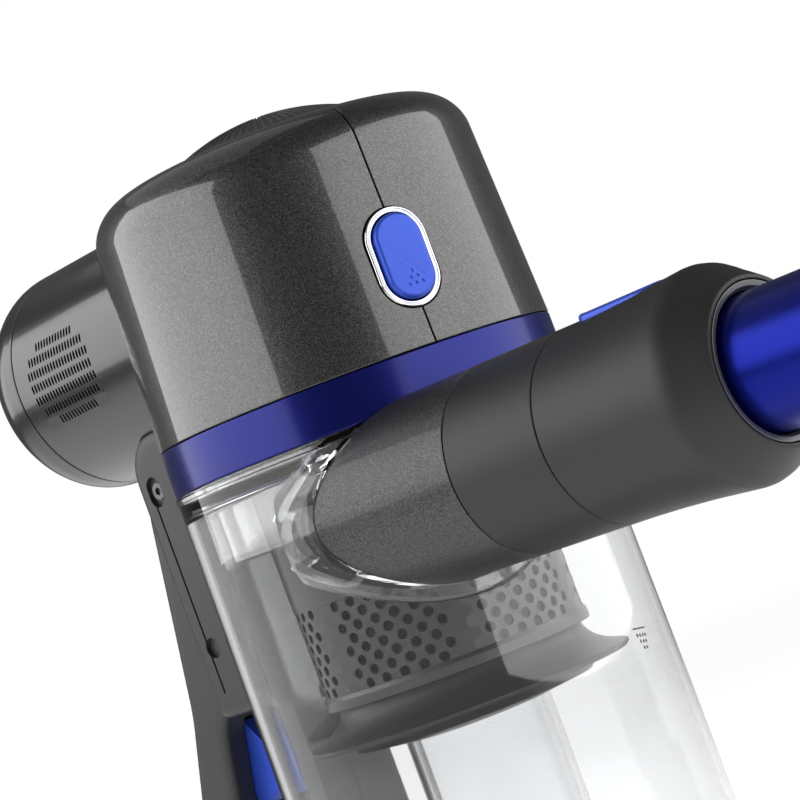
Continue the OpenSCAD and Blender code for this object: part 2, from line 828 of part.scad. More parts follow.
module trigger() {
  color(blue) difference() {
    side_extrude(trig_w) translate([trig_y, trig_z]) polygon([
      [-3, 3], [3, 3], [4, -4], [3, -24], [-3, -24], [-9, -20], [-11, -12], [-9, -5]]);
    translate([-far, trig_y, trig_z]) rotate([0, 90, 0]) cylinder(r = trig_pin_r + pin_gap, h = 2 * far);
  }
}

// The pin runs between the inner walls of the two shells
module pin_shape() {
  translate([-grip_w + grip_wall, trig_y, trig_z]) rotate([0, 90, 0])
    cylinder(r = trig_pin_r, h = 2 * (grip_w - grip_wall));
}

module trigger_pin() { color(steel) pin_shape(); }

module trigger_spring() {
  color(steel) translate([0, trig_y + 3.6, trig_z - 20]) rotate([-90, 0, 0]) coil(2.2, 0.35, 3, 4);
}

module switch_shape(gap) {
  translate([-switch_size[0] / 2 - gap, switch_y - gap, trig_z - 16 - gap])
    cube([for (side = switch_size) side + 2 * gap]);
}

module trigger_switch() { color(black) switch_shape(0); }

module handle_screws() {
  color(steel) for (s = [-1, 1], p = screw_places())
    translate([s * (p[2] - screw_sink), p[0], p[1]]) rotate([0, -s * 90, 0]) difference() {
      cylinder(r = screw_r, h = screw_l);
      translate([0, 0, -eps]) cylinder(r = 1.3, h = 1.2, $fn = 6);
    }
}

module battery_dock() {
  color(black) difference() {
    translate([0, batt_y + batt_l / 2, dock_z]) linear_extrude(dock_h)
      rounded_rect(2 * (batt_w - 2), batt_l, batt_r);
    translate([-batt_w + 8, batt_y + 8, dock_z - 1]) cube([2 * batt_w - 16, batt_l - 16, dock_h - 3]);
    translate([0, batt_y + batt_l + 1, dock_z + dock_h / 2]) rotate([90, 0, 0])
      cylinder(r = 4 + fit, h = 10);
  }
}

module charge_socket() {
  color(steel) translate([0, batt_y + batt_l, dock_z + dock_h / 2]) rotate([90, 0, 0]) difference() {
    cylinder(r = 4, h = 7);
    translate([0, 0, -1]) cylinder(r = 2.75, h = 7);
  }
}

module battery_case() {
  color(black) difference() {
    translate([0, batt_y + batt_l / 2, 0]) linear_extrude(batt_h) rounded_rect(2 * batt_w, batt_l, batt_r);
    translate([-batt_w + batt_wall + 3, batt_y + 10, batt_wall])
      cube([2 * (batt_w - batt_wall - 3), batt_l - 20, batt_h - batt_wall + 1]);
    for (s = [-1, 1]) latch_pocket(s, run);
    contact_shape();
  }
}

module battery_cells() {
  color("seagreen") for (c = [-1:1], k = [0, 1])
    translate([c * cell_pitch, batt_y + (batt_l + cell_l) / 2, batt_wall + fit + cell_r + k * cell_pitch])
      rotate([90, 0, 0]) cylinder(r = cell_r, h = cell_l);
}

module contact_shape() {
  for (x = [-9, 0, 9]) translate([x - 2, batt_y + 4, batt_h - 1]) cube([4, 4, 1]);
}

module battery_contacts() { color("gold") contact_shape(); }

module latch_pocket(side, gap) {
  translate([side > 0 ? batt_w - 3.4 - gap : -batt_w - 1, batt_y + 24 - gap, 16 - gap])
    cube([4.4 + gap, 22 + 2 * gap, 13 + 2 * gap]);
}

module battery_latch_left() { color(blue) translate([0.4, 0, 0]) latch_key(-1); }

module battery_latch_right() { color(blue) translate([-0.4, 0, 0]) latch_key(1); }

module latch_key(side) {
  translate([side > 0 ? batt_w - 1.6 : -batt_w - 1, batt_y + 24, 16]) cube([2.6, 22, 13]);
}

pod_shell_left();
pod_shell_right();
trim_ring();
button_bezel();
pod_button();
button_spring();
filter_cap();
filter_seal();
filter_core();
filter_well();
cone_cluster();
dust_cup();
cup_lid();
lid_seal();
lid_hinge_pin();
lid_latch();
latch_pin();
latch_spring();
inlet_guide();
shroud_frame();
shroud_screen();
shroud_skirt();
fine_dust_tube();
inlet_pipe();
inlet_sleeve();
inlet_collar();
wand_socket();
mouth_ring();
wand_release();
release_spring();
wand_tube();
wand_coupling();
motor_housing();
motor_end_cap();
exhaust_filter();
motor_stator();
motor_rotor();
motor_bearings();
motor_mount();
control_board();
mode_button();
handle_left();
handle_right();
grip_pad();
trigger();
trigger_pin();
trigger_spring();
trigger_switch();
handle_screws();
battery_dock();
charge_socket();
battery_case();
battery_cells();
battery_contacts();
battery_latch_left();
battery_latch_right();
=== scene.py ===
import json
import math
import bmesh
import bpy
from mathutils import Matrix, Vector
from mathutils.bvhtree import BVHTree
from mathutils.interpolate import poly_3d_calc


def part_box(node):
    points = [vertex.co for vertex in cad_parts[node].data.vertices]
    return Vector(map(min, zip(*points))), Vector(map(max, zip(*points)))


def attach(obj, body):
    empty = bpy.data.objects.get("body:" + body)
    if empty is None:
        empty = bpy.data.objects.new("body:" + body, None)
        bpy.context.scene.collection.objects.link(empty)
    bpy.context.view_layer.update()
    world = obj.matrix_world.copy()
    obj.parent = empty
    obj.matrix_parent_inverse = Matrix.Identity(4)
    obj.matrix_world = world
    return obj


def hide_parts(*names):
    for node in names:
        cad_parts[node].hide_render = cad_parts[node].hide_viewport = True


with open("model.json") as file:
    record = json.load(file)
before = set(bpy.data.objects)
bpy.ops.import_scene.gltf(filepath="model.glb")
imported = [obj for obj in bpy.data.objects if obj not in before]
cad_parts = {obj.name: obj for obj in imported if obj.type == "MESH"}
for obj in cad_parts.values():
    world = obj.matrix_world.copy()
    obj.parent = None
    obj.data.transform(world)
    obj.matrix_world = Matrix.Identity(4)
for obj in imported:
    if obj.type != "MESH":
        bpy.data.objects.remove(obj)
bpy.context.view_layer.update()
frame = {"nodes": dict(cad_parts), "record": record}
print("frame loaded,", len(frame["nodes"]), "nodes")
mm = 0.001


# Camera
cameraSetup = {
    "place": (-0.51336, -0.54692, 0.16211),
    "right": (0.68535, -0.63979, -0.34780),
    "forward": (0.69387, 0.71867, 0.04529),
    "lens": 117.04,
    "sensor": 36,
}


def makeCamera(setup):
    data = bpy.data.cameras.new("studioCamera")
    data.lens = setup["lens"]
    data.sensor_width = setup["sensor"]
    data.clip_start = 0.02
    camera = bpy.data.objects.new("studioCamera", data)
    forward = Vector(setup["forward"]).normalized()
    right = Vector(setup["right"])
    right = (right - forward * right.dot(forward)).normalized()
    up = right.cross(forward)
    turn = Matrix((right, up, -forward)).transposed().to_4x4()
    camera.matrix_world = Matrix.Translation(setup["place"]) @ turn
    bpy.context.scene.collection.objects.link(camera)
    bpy.context.scene.camera = camera


makeCamera(cameraSetup)


# Node trees written as Python
class Wire:
    # one output socket; numbers and other wires combine with it through Math nodes
    def __init__(self, tree, socket):
        self.tree = tree
        self.socket = socket

    def math(self, operation, *others, flipped=False):
        node = self.tree.nodes.new("ShaderNodeMath")
        node.operation = operation
        values = [self, *others]
        if flipped:
            values.reverse()
        for i, value in enumerate(values):
            plug(self.tree, node.inputs[i], value)
        return Wire(self.tree, node.outputs[0])

    def __add__(self, other): return self.math("ADD", other)
    def __radd__(self, other): return self.math("ADD", other)
    def __sub__(self, other): return self.math("SUBTRACT", other)
    def __rsub__(self, other): return self.math("SUBTRACT", other, flipped=True)
    def __mul__(self, other): return self.math("MULTIPLY", other)
    def __rmul__(self, other): return self.math("MULTIPLY", other)
    def __truediv__(self, other): return self.math("DIVIDE", other)
    def __pow__(self, other): return self.math("POWER", other)
    def __gt__(self, other): return self.math("GREATER_THAN", other)
    def __lt__(self, other): return self.math("LESS_THAN", other)


def plug(tree, socket, value):
    if isinstance(value, Wire):
        tree.links.new(value.socket, socket)
    elif value is not None:
        socket.default_value = value


def place(tree, kind, settings=None, sockets=None, out=0):
    # adds a node: its settings first, then the values or links of its sockets
    node = tree.nodes.new(kind)
    for key, value in (settings or {}).items():
        if key == "stops":
            ramp = node.color_ramp
            while len(ramp.elements) < len(value):
                ramp.elements.new(0.5)
            for element, (position, shade) in zip(ramp.elements, value):
                element.position = position
                element.color = shade if len(shade) == 4 else (*shade, 1)
        else:
            setattr(node, key, value)
    for key, value in (sockets or {}).items():
        plug(tree, node.inputs[key], value)
    return Wire(tree, node.outputs[out])


class Finish:
    # a material with one Principled shader and the texture helpers its pieces need
    def __init__(self, name, **constants):
        self.material = bpy.data.materials.new(name)
        self.material.use_nodes = True
        self.tree = self.material.node_tree
        self.tree.nodes.clear()
        output = self.tree.nodes.new("ShaderNodeOutputMaterial")
        self.shader = self.tree.nodes.new("ShaderNodeBsdfPrincipled")
        self.tree.links.new(self.shader.outputs[0], output.inputs[0])
        for key, value in constants.items():
            self.set(key, value)
        self.coords = place(self.tree, "ShaderNodeTexCoord", out=3)

    def set(self, key, value):
        # coatWeight becomes the socket called Coat Weight
        label = "".join(" " + c if c.isupper() else c for c in key)
        label = label[0].upper() + label[1:]
        label = {"Ior": "IOR", "Specular": "Specular IOR Level"}.get(label, label)
        if isinstance(value, tuple) and len(value) == 3:
            value = (*value, 1)
        plug(self.tree, self.shader.inputs[label], value)

    def add(self, kind, settings=None, sockets=None, out=0):
        return place(self.tree, kind, settings, sockets, out)

    def noise(self, scale, detail=2, rough=0.5, out=0):
        return self.add("ShaderNodeTexNoise", None,
                        {"Vector": self.coords, "Scale": scale, "Detail": detail, "Roughness": rough}, out)

    def cells(self, scale, out=0, feature="F1"):
        return self.add("ShaderNodeTexVoronoi", {"feature": feature},
                        {"Vector": self.coords, "Scale": scale}, out)

    def spread(self, value, low, high, toLow=0.0, toHigh=1.0):
        return self.add("ShaderNodeMapRange", None, {0: value, 1: low, 2: high, 3: toLow, 4: toHigh})

    def mix(self, factor, a, b):
        a = (*a, 1) if isinstance(a, tuple) and len(a) == 3 else a
        b = (*b, 1) if isinstance(b, tuple) and len(b) == 3 else b
        return self.add("ShaderNodeMix", {"data_type": "RGBA"}, {0: factor, 6: a, 7: b}, out=2)

    def axes(self):
        split = self.add("ShaderNodeSeparateXYZ", None, {0: self.coords})
        node = split.socket.node
        return [Wire(self.tree, node.outputs[i]) for i in range(3)]

    def bump(self, height, strength, distance):
        self.set("normal", self.add("ShaderNodeBump", None,
                                    {"Strength": strength, "Distance": distance, "Height": height}))
        return self


# Finishes
def metallicPaint(name, dark, light, flake, coat=0.6, rough=0.34):
    # dark lacquer with fine bright flakes under a clear coat
    made = Finish(name, metallic=0.8, coatWeight=coat, coatRoughness=0.05, specular=0.5)
    flakes = made.cells(flake, out=1)
    sparkle = made.add("ShaderNodeSeparateColor", None, {0: flakes})
    broad = made.noise(9, 3)
    factor = (sparkle ** 2.2) * 0.85 + broad * 0.15
    made.set("baseColor", made.mix(factor, dark, light))
    made.set("roughness", made.spread(sparkle, 0, 1, rough - 0.05, rough + 0.08))
    made.bump(made.noise(flake * 0.5, 1), 0.12, 0.00006)
    return made.material


def satinMetal(name, color, rough, metal=0.85, grain=0.05, coat=0.0):
    made = Finish(name, metallic=metal, coatWeight=coat, coatRoughness=0.15)
    fine = made.noise(3800, 2)
    cloud = made.noise(25, 3)
    deep = tuple(c * 0.8 for c in color)
    made.set("baseColor", made.mix(fine * 0.5 + cloud * 0.3, color, deep))
    made.set("roughness", made.spread(cloud, 0.3, 0.7, rough - grain, rough + grain))
    made.bump(fine, 0.1, 0.00003)
    return made.material


def mouldedPlastic(name, color, rough, grainScale=2600, grain=0.18, spec=0.5, coat=0.0, lift=1.35):
    # moulded plastic with a fine spark-eroded grain and slight tone changes
    made = Finish(name, specular=spec, coatWeight=coat, coatRoughness=0.08)
    fine = made.noise(grainScale, 3, 0.6)
    cloud = made.noise(18, 4)
    pale = tuple(min(1, c * lift) for c in color)
    made.set("baseColor", made.mix(fine * 0.35 + cloud * 0.45, color, pale))
    made.set("roughness", made.spread(fine + cloud * 0.6, 0.4, 1.1, rough - 0.04, rough + 0.06))
    made.bump(fine, grain, 0.00006)
    return made.material


def clearPlastic(name, tint, rough, ior=1.45):
    made = Finish(name, transmissionWeight=1.0, ior=ior)
    smear = made.noise(14, 4, 0.6)
    # painted shade: the colour darkens where the wall is seen edge on, standing in for the longer path of
    # light through it
    slant = made.add("ShaderNodeLayerWeight", None, {"Blend": 0.5}, out=1)
    edge = made.mix((slant ** 2.5) * 0.9, tint, tuple(c * 0.5 for c in tint))
    made.set("baseColor", made.mix(made.spread(smear, 0.35, 0.7) * 0.15, edge, tuple(c * 0.9 for c in tint)))
    made.set("roughness", made.spread(smear, 0.3, 0.75, rough, rough + 0.05))
    return made.material


def bareMetal(name, color, rough, brush=900):
    made = Finish(name, metallic=1.0)
    stretched = made.add("ShaderNodeMapping", None, {0: made.coords, 3: (brush, brush, brush * 0.04)})
    lines = made.add("ShaderNodeTexNoise", None, {"Vector": stretched, "Scale": 1.0, "Detail": 2})
    made.set("baseColor", made.mix(lines * 0.5, color, tuple(c * 0.8 for c in color)))
    made.set("roughness", made.spread(lines, 0.3, 0.7, rough - 0.03, rough + 0.06))
    return made.material


def pleatedPaper(name):
    made = Finish(name, roughness=0.9)
    fibre = made.noise(1500, 4, 0.7)
    made.set("baseColor", made.mix(fibre, (0.72, 0.7, 0.66), (0.86, 0.85, 0.82)))
    return made.bump(fibre, 0.4, 0.0001).material


def circuitBoard(name):
    made = Finish(name, roughness=0.45)
    tracks = made.cells(450, out=0, feature="DISTANCE_TO_EDGE")
    made.set("baseColor", made.mix(made.spread(tracks, 0.02, 0.06), (0.35, 0.26, 0.05), (0.01, 0.1, 0.04)))
    return made.material


def cellWrap(name):
    made = Finish(name, roughness=0.35, coatWeight=0.4)
    along = made.axes()[1]
    band = (along * 40).math("FRACT") > 0.9
    made.set("baseColor", made.mix(band, (0.02, 0.22, 0.12), (0.5, 0.5, 0.48)))
    return made.material


finishes = {
    "pod_paint": metallicPaint("podPaint", (0.022, 0.022, 0.023), (0.15, 0.147, 0.143), 5000, coat=1.0,
                               rough=0.33),
    "blue_trim": satinMetal("blueTrim", (0.003, 0.007, 0.16), 0.32, metal=0.75, coat=0.3),
    "blue_button": satinMetal("blueButton", (0.03, 0.09, 0.62), 0.4, metal=0.4, coat=0.15),
    "chrome": satinMetal("brightBezel", (0.82, 0.82, 0.84), 0.12, metal=1.0, grain=0.0),
    "steel": bareMetal("springSteel", (0.55, 0.55, 0.57), 0.25),
    "cap_plastic": mouldedPlastic("capPlastic", (0.03, 0.03, 0.031), 0.38, grain=0.1, coat=0.2),
    "seal_rubber": mouldedPlastic("sealRubber", (0.02, 0.02, 0.02), 0.7, 1200),
    "filter_paper": pleatedPaper("filterPaper"),
    "dark_plastic": mouldedPlastic("darkPlastic", (0.035, 0.035, 0.037), 0.4),
    "clear_plastic": clearPlastic("clearPlastic", (0.95, 0.955, 0.96), 0.0),
    "shroud_steel": mouldedPlastic("shroudDark", (0.02, 0.02, 0.022), 0.32, 1800, grain=0.02, coat=0.2),
    "skirt_plastic": mouldedPlastic("skirtPlastic", (0.012, 0.012, 0.014), 0.35, grain=0.08),
    "matte_black": mouldedPlastic("matteBlack", (0.011, 0.011, 0.012), 0.5, 3200, grain=0.25),
    "wand_blue": satinMetal("wandBlue", (0.003, 0.010, 0.22), 0.32, metal=0.85),
    "gloss_black": mouldedPlastic("motorBlack", (0.014, 0.014, 0.015), 0.22, grain=0.04, coat=0.5),
    "mode_grey": mouldedPlastic("modeGrey", (0.18, 0.18, 0.19), 0.35),
    "handle_grey": mouldedPlastic("handleGrey", (0.03, 0.03, 0.031), 0.42, grain=0.15),
    "grip_soft": mouldedPlastic("gripSoft", (0.013, 0.013, 0.014), 0.75, 1500, grain=0.35),
    "screw_steel": bareMetal("screwSteel", (0.12, 0.12, 0.125), 0.3),
    "board_green": circuitBoard("boardGreen"),
    "cell_wrap": cellWrap("cellWrap"),
    "contact_gold": bareMetal("contactGold", (0.85, 0.6, 0.2), 0.22),
}
speckledPipe = metallicPaint("pipePaint", (0.022, 0.022, 0.023), (0.15, 0.148, 0.145), 5000, coat=0.2,
                             rough=0.45)
mouthMetal = satinMetal("mouthGrey", (0.16, 0.16, 0.17), 0.35, metal=0.6)
markInk = mouldedPlastic("fillMarkInk", (0.03, 0.03, 0.03), 0.5)
# painted shade: near-black backing set behind the bezel's groove, the shroud's holes and the motor's slots,
# where the inside lies in shade
shadeBlack = mouldedPlastic("gapBlack", (0.004, 0.004, 0.004), 0.6)
print("finishes made")

slotOfNode = {part["node"]: part["material_slot"] for part in frame["record"]["subparts"]}
for nodeName, nodeObject in frame["nodes"].items():
    slotName = slotOfNode.get(nodeName)
    if slotName in finishes:
        nodeObject.data.materials.clear()
        nodeObject.data.materials.append(finishes[slotName])
bodyOfNode = {node: body for body, nodes in frame["record"]["behaviour"]["bodies"].items() for node in nodes}
print("carried-over nodes without a slot:", [n for n in frame["nodes"] if n not in slotOfNode])


# Mesh helpers
def finish(made, stands, material=None, body=None):
    # gives a piece its finish, its body and the nodes it stands for
    slotName = slotOfNode[stands[0]]
    made.data.materials.clear()
    made.data.materials.append(material or finishes[slotName])
    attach(made, body or bodyOfNode[stands[0]])
    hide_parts(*stands)
    return made


def extra(made, neighbour, material):
    # an added detail that rides with a neighbouring node
    made.data.materials.clear()
    made.data.materials.append(material)
    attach(made, bodyOfNode[neighbour])
    return made


def newObject(name, mesh):
    made = bpy.data.objects.new(name, mesh)
    bpy.context.scene.collection.objects.link(made)
    return made


def meshFrom(name, points, faces, smoothAngle=38, recalc=True):
    mesh = bpy.data.meshes.new(name)
    mesh.from_pydata([Vector(p) * mm for p in points], [], faces)
    tidy = bmesh.new()
    tidy.from_mesh(mesh)
    bmesh.ops.remove_doubles(tidy, verts=tidy.verts, dist=2e-6)
    bmesh.ops.dissolve_degenerate(tidy, edges=tidy.edges, dist=1e-7)
    if recalc:
        bmesh.ops.recalc_face_normals(tidy, faces=tidy.faces)
    tidy.to_mesh(mesh)
    tidy.free()
    mesh.shade_smooth()
    mesh.set_sharp_from_angle(angle=math.radians(smoothAngle))
    return newObject(name, mesh)


def evaluated(made):
    # freezes the modifiers into a plain mesh
    graph = bpy.context.evaluated_depsgraph_get()
    mesh = bpy.data.meshes.new_from_object(made.evaluated_get(graph), depsgraph=graph)
    made.modifiers.clear()
    old = made.data
    made.data = mesh
    mesh.name = made.name
    bpy.data.meshes.remove(old)
    return made


def weighted(made):
    made.modifiers.new("evenNormals", "WEIGHTED_NORMAL").keep_sharp = True
    return evaluated(made)


def softenEdges(made, width, segments=2, angle=35):
    bevel = made.modifiers.new("softEdges", "BEVEL")
    bevel.width = width * mm
    bevel.segments = segments
    bevel.limit_method = "ANGLE"
    bevel.angle_limit = math.radians(angle)
    bevel.harden_normals = False
    return weighted(made)


def boolean(made, tool, operation="DIFFERENCE", keepTool=False):
    # joins or cuts with another mesh, and keeps the old surface's shading where it survives
    before = made.data.copy()
    change = made.modifiers.new("change", "BOOLEAN")
    change.operation = operation
    change.object = tool
    change.solver = "EXACT"
    evaluated(made)
    keepShading(made, before)
    bpy.data.meshes.remove(before)
    if not keepTool:
        bpy.data.objects.remove(tool)
    return made


def keepShading(made, before):
    tree = BVHTree.FromPolygons([v.co for v in before.vertices], [p.vertices for p in before.polygons])
    corners = [Vector(n.vector) for n in before.corner_normals]
    mesh = made.data
    mesh.shade_smooth()
    normals = [None] * len(mesh.loops)
    for face in mesh.polygons:
        found = []
        for loop in face.loop_indices:
            spot = mesh.vertices[mesh.loops[loop].vertex_index].co
            spot = spot + (face.center - spot) * 0.02
            hit, _, index, far = tree.find_nearest(spot)
            old = before.polygons[index]
            ring = [before.vertices[i].co for i in old.vertices]
            shares = poly_3d_calc(ring, hit)
            normal = Vector((0, 0, 0))
            for share, corner in zip(shares, old.loop_indices):
                normal += corners[corner] * share
            found.append((normal.normalized(), far))
        near = all(far < 2e-5 and n.dot(face.normal) > 0.8 for n, far in found)
        for loop, (normal, far) in zip(face.loop_indices, found):
            normals[loop] = normal if near else face.normal.copy()
    mesh.normals_split_custom_set(normals)


def rounded(corners, closed=True, steps=5):
    # corners as (r, h) or (r, h, radius): each gets an arc of its radius
    points = []
    count = len(corners)
    for i, corner in enumerate(corners):
        spot = Vector(corner[:2])
        radius = corner[2] if len(corner) > 2 else 0
        if radius <= 0 or (not closed and i in (0, count - 1)):
            points.append(spot)
            continue
        back = (Vector(corners[i - 1][:2]) - spot)
        ahead = (Vector(corners[(i + 1) % count][:2]) - spot)
        half = back.angle(ahead) / 2
        reach = min(radius / math.tan(half), back.length * 0.49, ahead.length * 0.49)
        radius = reach * math.tan(half)
        a, b = back.normalized(), ahead.normalized()
        middle = spot + (a + b).normalized() * (radius / math.sin(half))
        start, end = spot + a * reach - middle, spot + b * reach - middle
        turn = start.angle_signed(end)
        for k in range(steps + 1):
            points.append(middle + Matrix.Rotation(-turn * k / steps, 2) @ start)
    return [tuple(p) for p in points]


def arcPoints(cx, cy, radius, a0, a1, steps=8):
    return [(cx + radius * math.cos(math.radians(a0 + (a1 - a0) * i / steps)),
             cy + radius * math.sin(math.radians(a0 + (a1 - a0) * i / steps))) for i in range(steps + 1)]


def spun(name, profile, centre, axis="z", segments=128, closed=True, smoothAngle=38):
    # turns (r, h) points about an axis through centre; h runs up, or forward or back along Y
    points, faces = [], []
    count = len(profile)
    for s in range(segments):
        a = 2 * math.pi * s / segments
        for r, h in profile:
            points.append(seat(r * math.cos(a), r * math.sin(a), h, centre, axis))
    last = count if closed else count - 1
    for s in range(segments):
        t = (s + 1) % segments
        for i in range(last):
            j = (i + 1) % count
            faces.append((s * count + i, s * count + j, t * count + j, t * count + i))
    return weighted(meshFrom(name, points, faces, smoothAngle))


def seat(u, v, h, centre, axis):
    if axis == "z":
        return (centre[0] + u, centre[1] + v, centre[2] + h)
    way = -1 if axis == "front" else 1
    return (centre[0] + u, centre[1] + way * h, centre[2] + v)


def bar(name, radius, y0, y1, x, z, segments=96):
    # plain round cutter along Y
    return spun(name, [(0, 0), (radius, 0), (radius, y1 - y0), (0, y1 - y0)], (x, y0, z), "back", segments)


def prism(name, outline, low, high, frameMatrix):
    # extrudes a closed outline (u, v) from low to high along the third axis of the matrix
    n = len(outline)
    points = [frameMatrix @ Vector((u, v, h)) for h in (low, high) for u, v in outline]
    faces = [tuple(range(n))[::-1], tuple(range(n, 2 * n))]
    faces += [(i, (i + 1) % n, n + (i + 1) % n, n + i) for i in range(n)]
    return meshFrom(name, points, faces)


def stadiumOutline(height, width, steps=20, inset=0.0):
    r = width / 2 - inset
    d = (height - width) / 2
    top = [(r * math.cos(math.pi * k / steps),
            d + r * math.sin(math.pi * k / steps)) for k in range(steps + 1)]
    low = [(-x, -y) for x, y in top]
    return top + low


def softened(node, name, width=0.6, segments=2, angle=35, flat=2.0):
    # a copy of a node's solid with its loose triangles merged and its edges rounded
    mesh = frame["nodes"][node].data.copy()
    mesh.name = name
    tidy = bmesh.new()
    tidy.from_mesh(mesh)
    bmesh.ops.remove_doubles(tidy, verts=tidy.verts, dist=2e-6)
    bmesh.ops.dissolve_limit(tidy, angle_limit=math.radians(flat), verts=tidy.verts, edges=tidy.edges)
    tidy.to_mesh(mesh)
    tidy.free()
    mesh.shade_smooth()
    mesh.set_sharp_from_angle(angle=math.radians(angle))
    made = newObject(name, mesh)
    if width:
        softenEdges(made, width, segments, angle)
    return made


# Places taken from the frame, in mm
def boxMm(node):
    low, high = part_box(node)
    return [c * 1000 for c in low], [c * 1000 for c in high]


ringLow, ringHigh = boxMm("trim_ring")
ringZ, ringTop, ringR = ringLow[2], ringHigh[2], ringHigh[0]
podHigh = boxMm("pod_shell_right")[1]
sleeveLow, sleeveHigh = boxMm("inlet_sleeve")
pipeX = (sleeveLow[0] + sleeveHigh[0]) / 2
pipeZ = (sleeveLow[2] + sleeveHigh[2]) / 2
pipeR = (sleeveHigh[0] - sleeveLow[0]) / 2
sleeveStart, sleeveEnd = -sleeveHigh[1], -sleeveLow[1]
collarLow, collarHigh = boxMm("inlet_collar")
collarStart, mouthY = -collarHigh[1], -collarLow[1]
tubeLow, tubeHigh = boxMm("wand_tube")
wandR = (tubeHigh[0] - tubeLow[0]) / 2
wandIn, wandOut = -tubeHigh[1], -tubeLow[1]
motorLow, motorHigh = boxMm("motor_housing")
motorR = motorHigh[0]
motorZ = motorHigh[2] - motorR
motorFront, motorSplit = motorLow[1], motorHigh[1]
capEnd = boxMm("motor_end_cap")[1][1]
cupHigh = boxMm("dust_cup")[1]
lidHigh = boxMm("cup_lid")[1]
seamTurn = math.radians(19)
cupAxis = (0, 0, 0)


# Pod shells
podSetup = {"foot": 59.5, "shoulder": 57.2, "corner": 14, "crown": 1.5, "hole": 32.4, "capR": 32,
            "wall": 2.6, "seamHalf": 0.2, "step": 1.5, "base": ringTop + 0.2}


def podOutline(setup, height):
    h = height
    cx, cz = setup["shoulder"] - setup["corner"], h - setup["crown"] - setup["corner"]
    outer = [(setup["foot"] - 0.35, 0), (setup["foot"] - 0.1, 0.1), (setup["foot"], 0.35)]
    outer += [(setup["foot"] + (setup["shoulder"] - setup["foot"]) * t, 0.35 + (cz - 0.35) * t)
              for t in (0.12, 0.3, 0.5, 0.7, 0.88)]
    outer += arcPoints(cx, cz, setup["corner"], 0, 78, 26)
    outer += [(setup["capR"] + 4, h - 0.7), (setup["hole"] + 0.5, h - 0.64), (setup["hole"] + 0.1, h - 0.75),
              (setup["hole"], h - 1.1)]
    w = setup["wall"]
    inner = [(setup["hole"], h - w - 0.6), (setup["capR"] + 4, h - w - 0.7)]
    inner += arcPoints(cx, cz, setup["corner"] - w, 78, 0, 10)
    inner += [(setup["foot"] - w, 0)]
    return outer, inner


def podHalf(name, side, setup):
    height = podHigh[2] - setup["base"] + 0.63
    outer, inner = podOutline(setup, height)
    profile = outer + inner
    marks = len(outer)
    slope = []
    for i in range(marks):
        a = Vector(profile[max(0, i - 1)])
        b = Vector(profile[min(marks - 1, i + 1)])
        along = (b - a).normalized()
        slope.append(Vector((along[1], -along[0])))
    seamAngle = -math.pi / 2 - seamTurn
    start = seamAngle if side > 0 else seamAngle - math.pi
    columns = [("edge", setup["seamHalf"], 0.3, start, 1), ("edge", setup["seamHalf"] + 0.05, 0.1, start, 1),
               ("edge", setup["seamHalf"] + 0.2, 0.02, start, 1),
               ("edge", setup["seamHalf"] + 0.5, 0, start, 1)]
    turns = int(180 / setup["step"])
    columns += [("free", 0, 0, start + math.radians(setup["step"] * k), 1) for k in range(1, turns)]
    end = start + math.pi
    columns += [("edge", setup["seamHalf"] + 0.5, 0, end, -1),
                ("edge", setup["seamHalf"] + 0.2, 0.02, end, -1),
                ("edge", setup["seamHalf"] + 0.05, 0.1, end, -1), ("edge", setup["seamHalf"], 0.3, end, -1)]
    points, faces = [], []
    for _, offset, inset, angle, way in columns:
        out = Vector((math.cos(angle), math.sin(angle)))
        beside = Vector((-math.sin(angle), math.cos(angle))) * way
        for i, (r, h) in enumerate(profile):
            if inset and i < marks:
                r, h = Vector((r, h)) - slope[i] * inset
            spot = out * r + beside * offset
            points.append((spot[0], spot[1], setup["base"] + h))
    n = len(profile)
    for c in range(len(columns) - 1):
        for i in range(n):
            j = (i + 1) % n
            faces.append((c * n + i, c * n + j, (c + 1) * n + j, (c + 1) * n + i))
    faces.append(tuple(range(n)))
    faces.append(tuple((len(columns) - 1) * n + i for i in range(n))[::-1])
    return weighted(meshFrom(name, points, faces, 30))


bezelSetup = {"height": 28.2, "width": 18.3, "rim": 1.7, "face": 59.3, "groove": 0.45}
buttonSetup = {"height": 24.0, "width": 14.1, "proud": 60.9, "dimple": 0.5, "pitch": 2.05, "drop": 6.2,
               "depth": 0.45}
bezelLow, bezelHigh = boxMm("button_bezel")
buttonZ = (bezelLow[2] + bezelHigh[2]) / 2
# columns: sideways, up, outwards from the pod
buttonFrame = Matrix((
    (math.cos(seamTurn), 0, -math.sin(seamTurn), 0),
    (-math.sin(seamTurn), 0, -math.cos(seamTurn), 0),
    (0, 1, 0, buttonZ),
    (0, 0, 0, 1)))


def buildPod():
    shells = {}
    for name, side, node in (("podShellLeft", -1, "pod_shell_left"), ("podShellRight", 1, "pod_shell_right")):
        shell = podHalf(name, side, podSetup)
        hole = stadiumOutline(bezelSetup["height"] + 2 * bezelSetup["groove"],
                              bezelSetup["width"] + 2 * bezelSetup["groove"], 24)
        boolean(shell, prism("holeTool", hole, 30, 90, buttonFrame))
        boolean(shell, bar("motorTool", motorR + 0.25, 20, 90, 0, motorZ, 128))
        shells[node] = finish(shell, [node])
    return shells


buildPod()
print("pod shells made")

# Trim ring
ringProfile = rounded([(ringR - 4.6, ringZ, 0.3), (ringR, ringZ, 0.5), (ringR - 0.1, ringTop, 0.5),
                       (ringR - 4.6, ringTop, 0.3)])
finish(spun("trimRing", ringProfile, cupAxis, segments=192), ["trim_ring"])


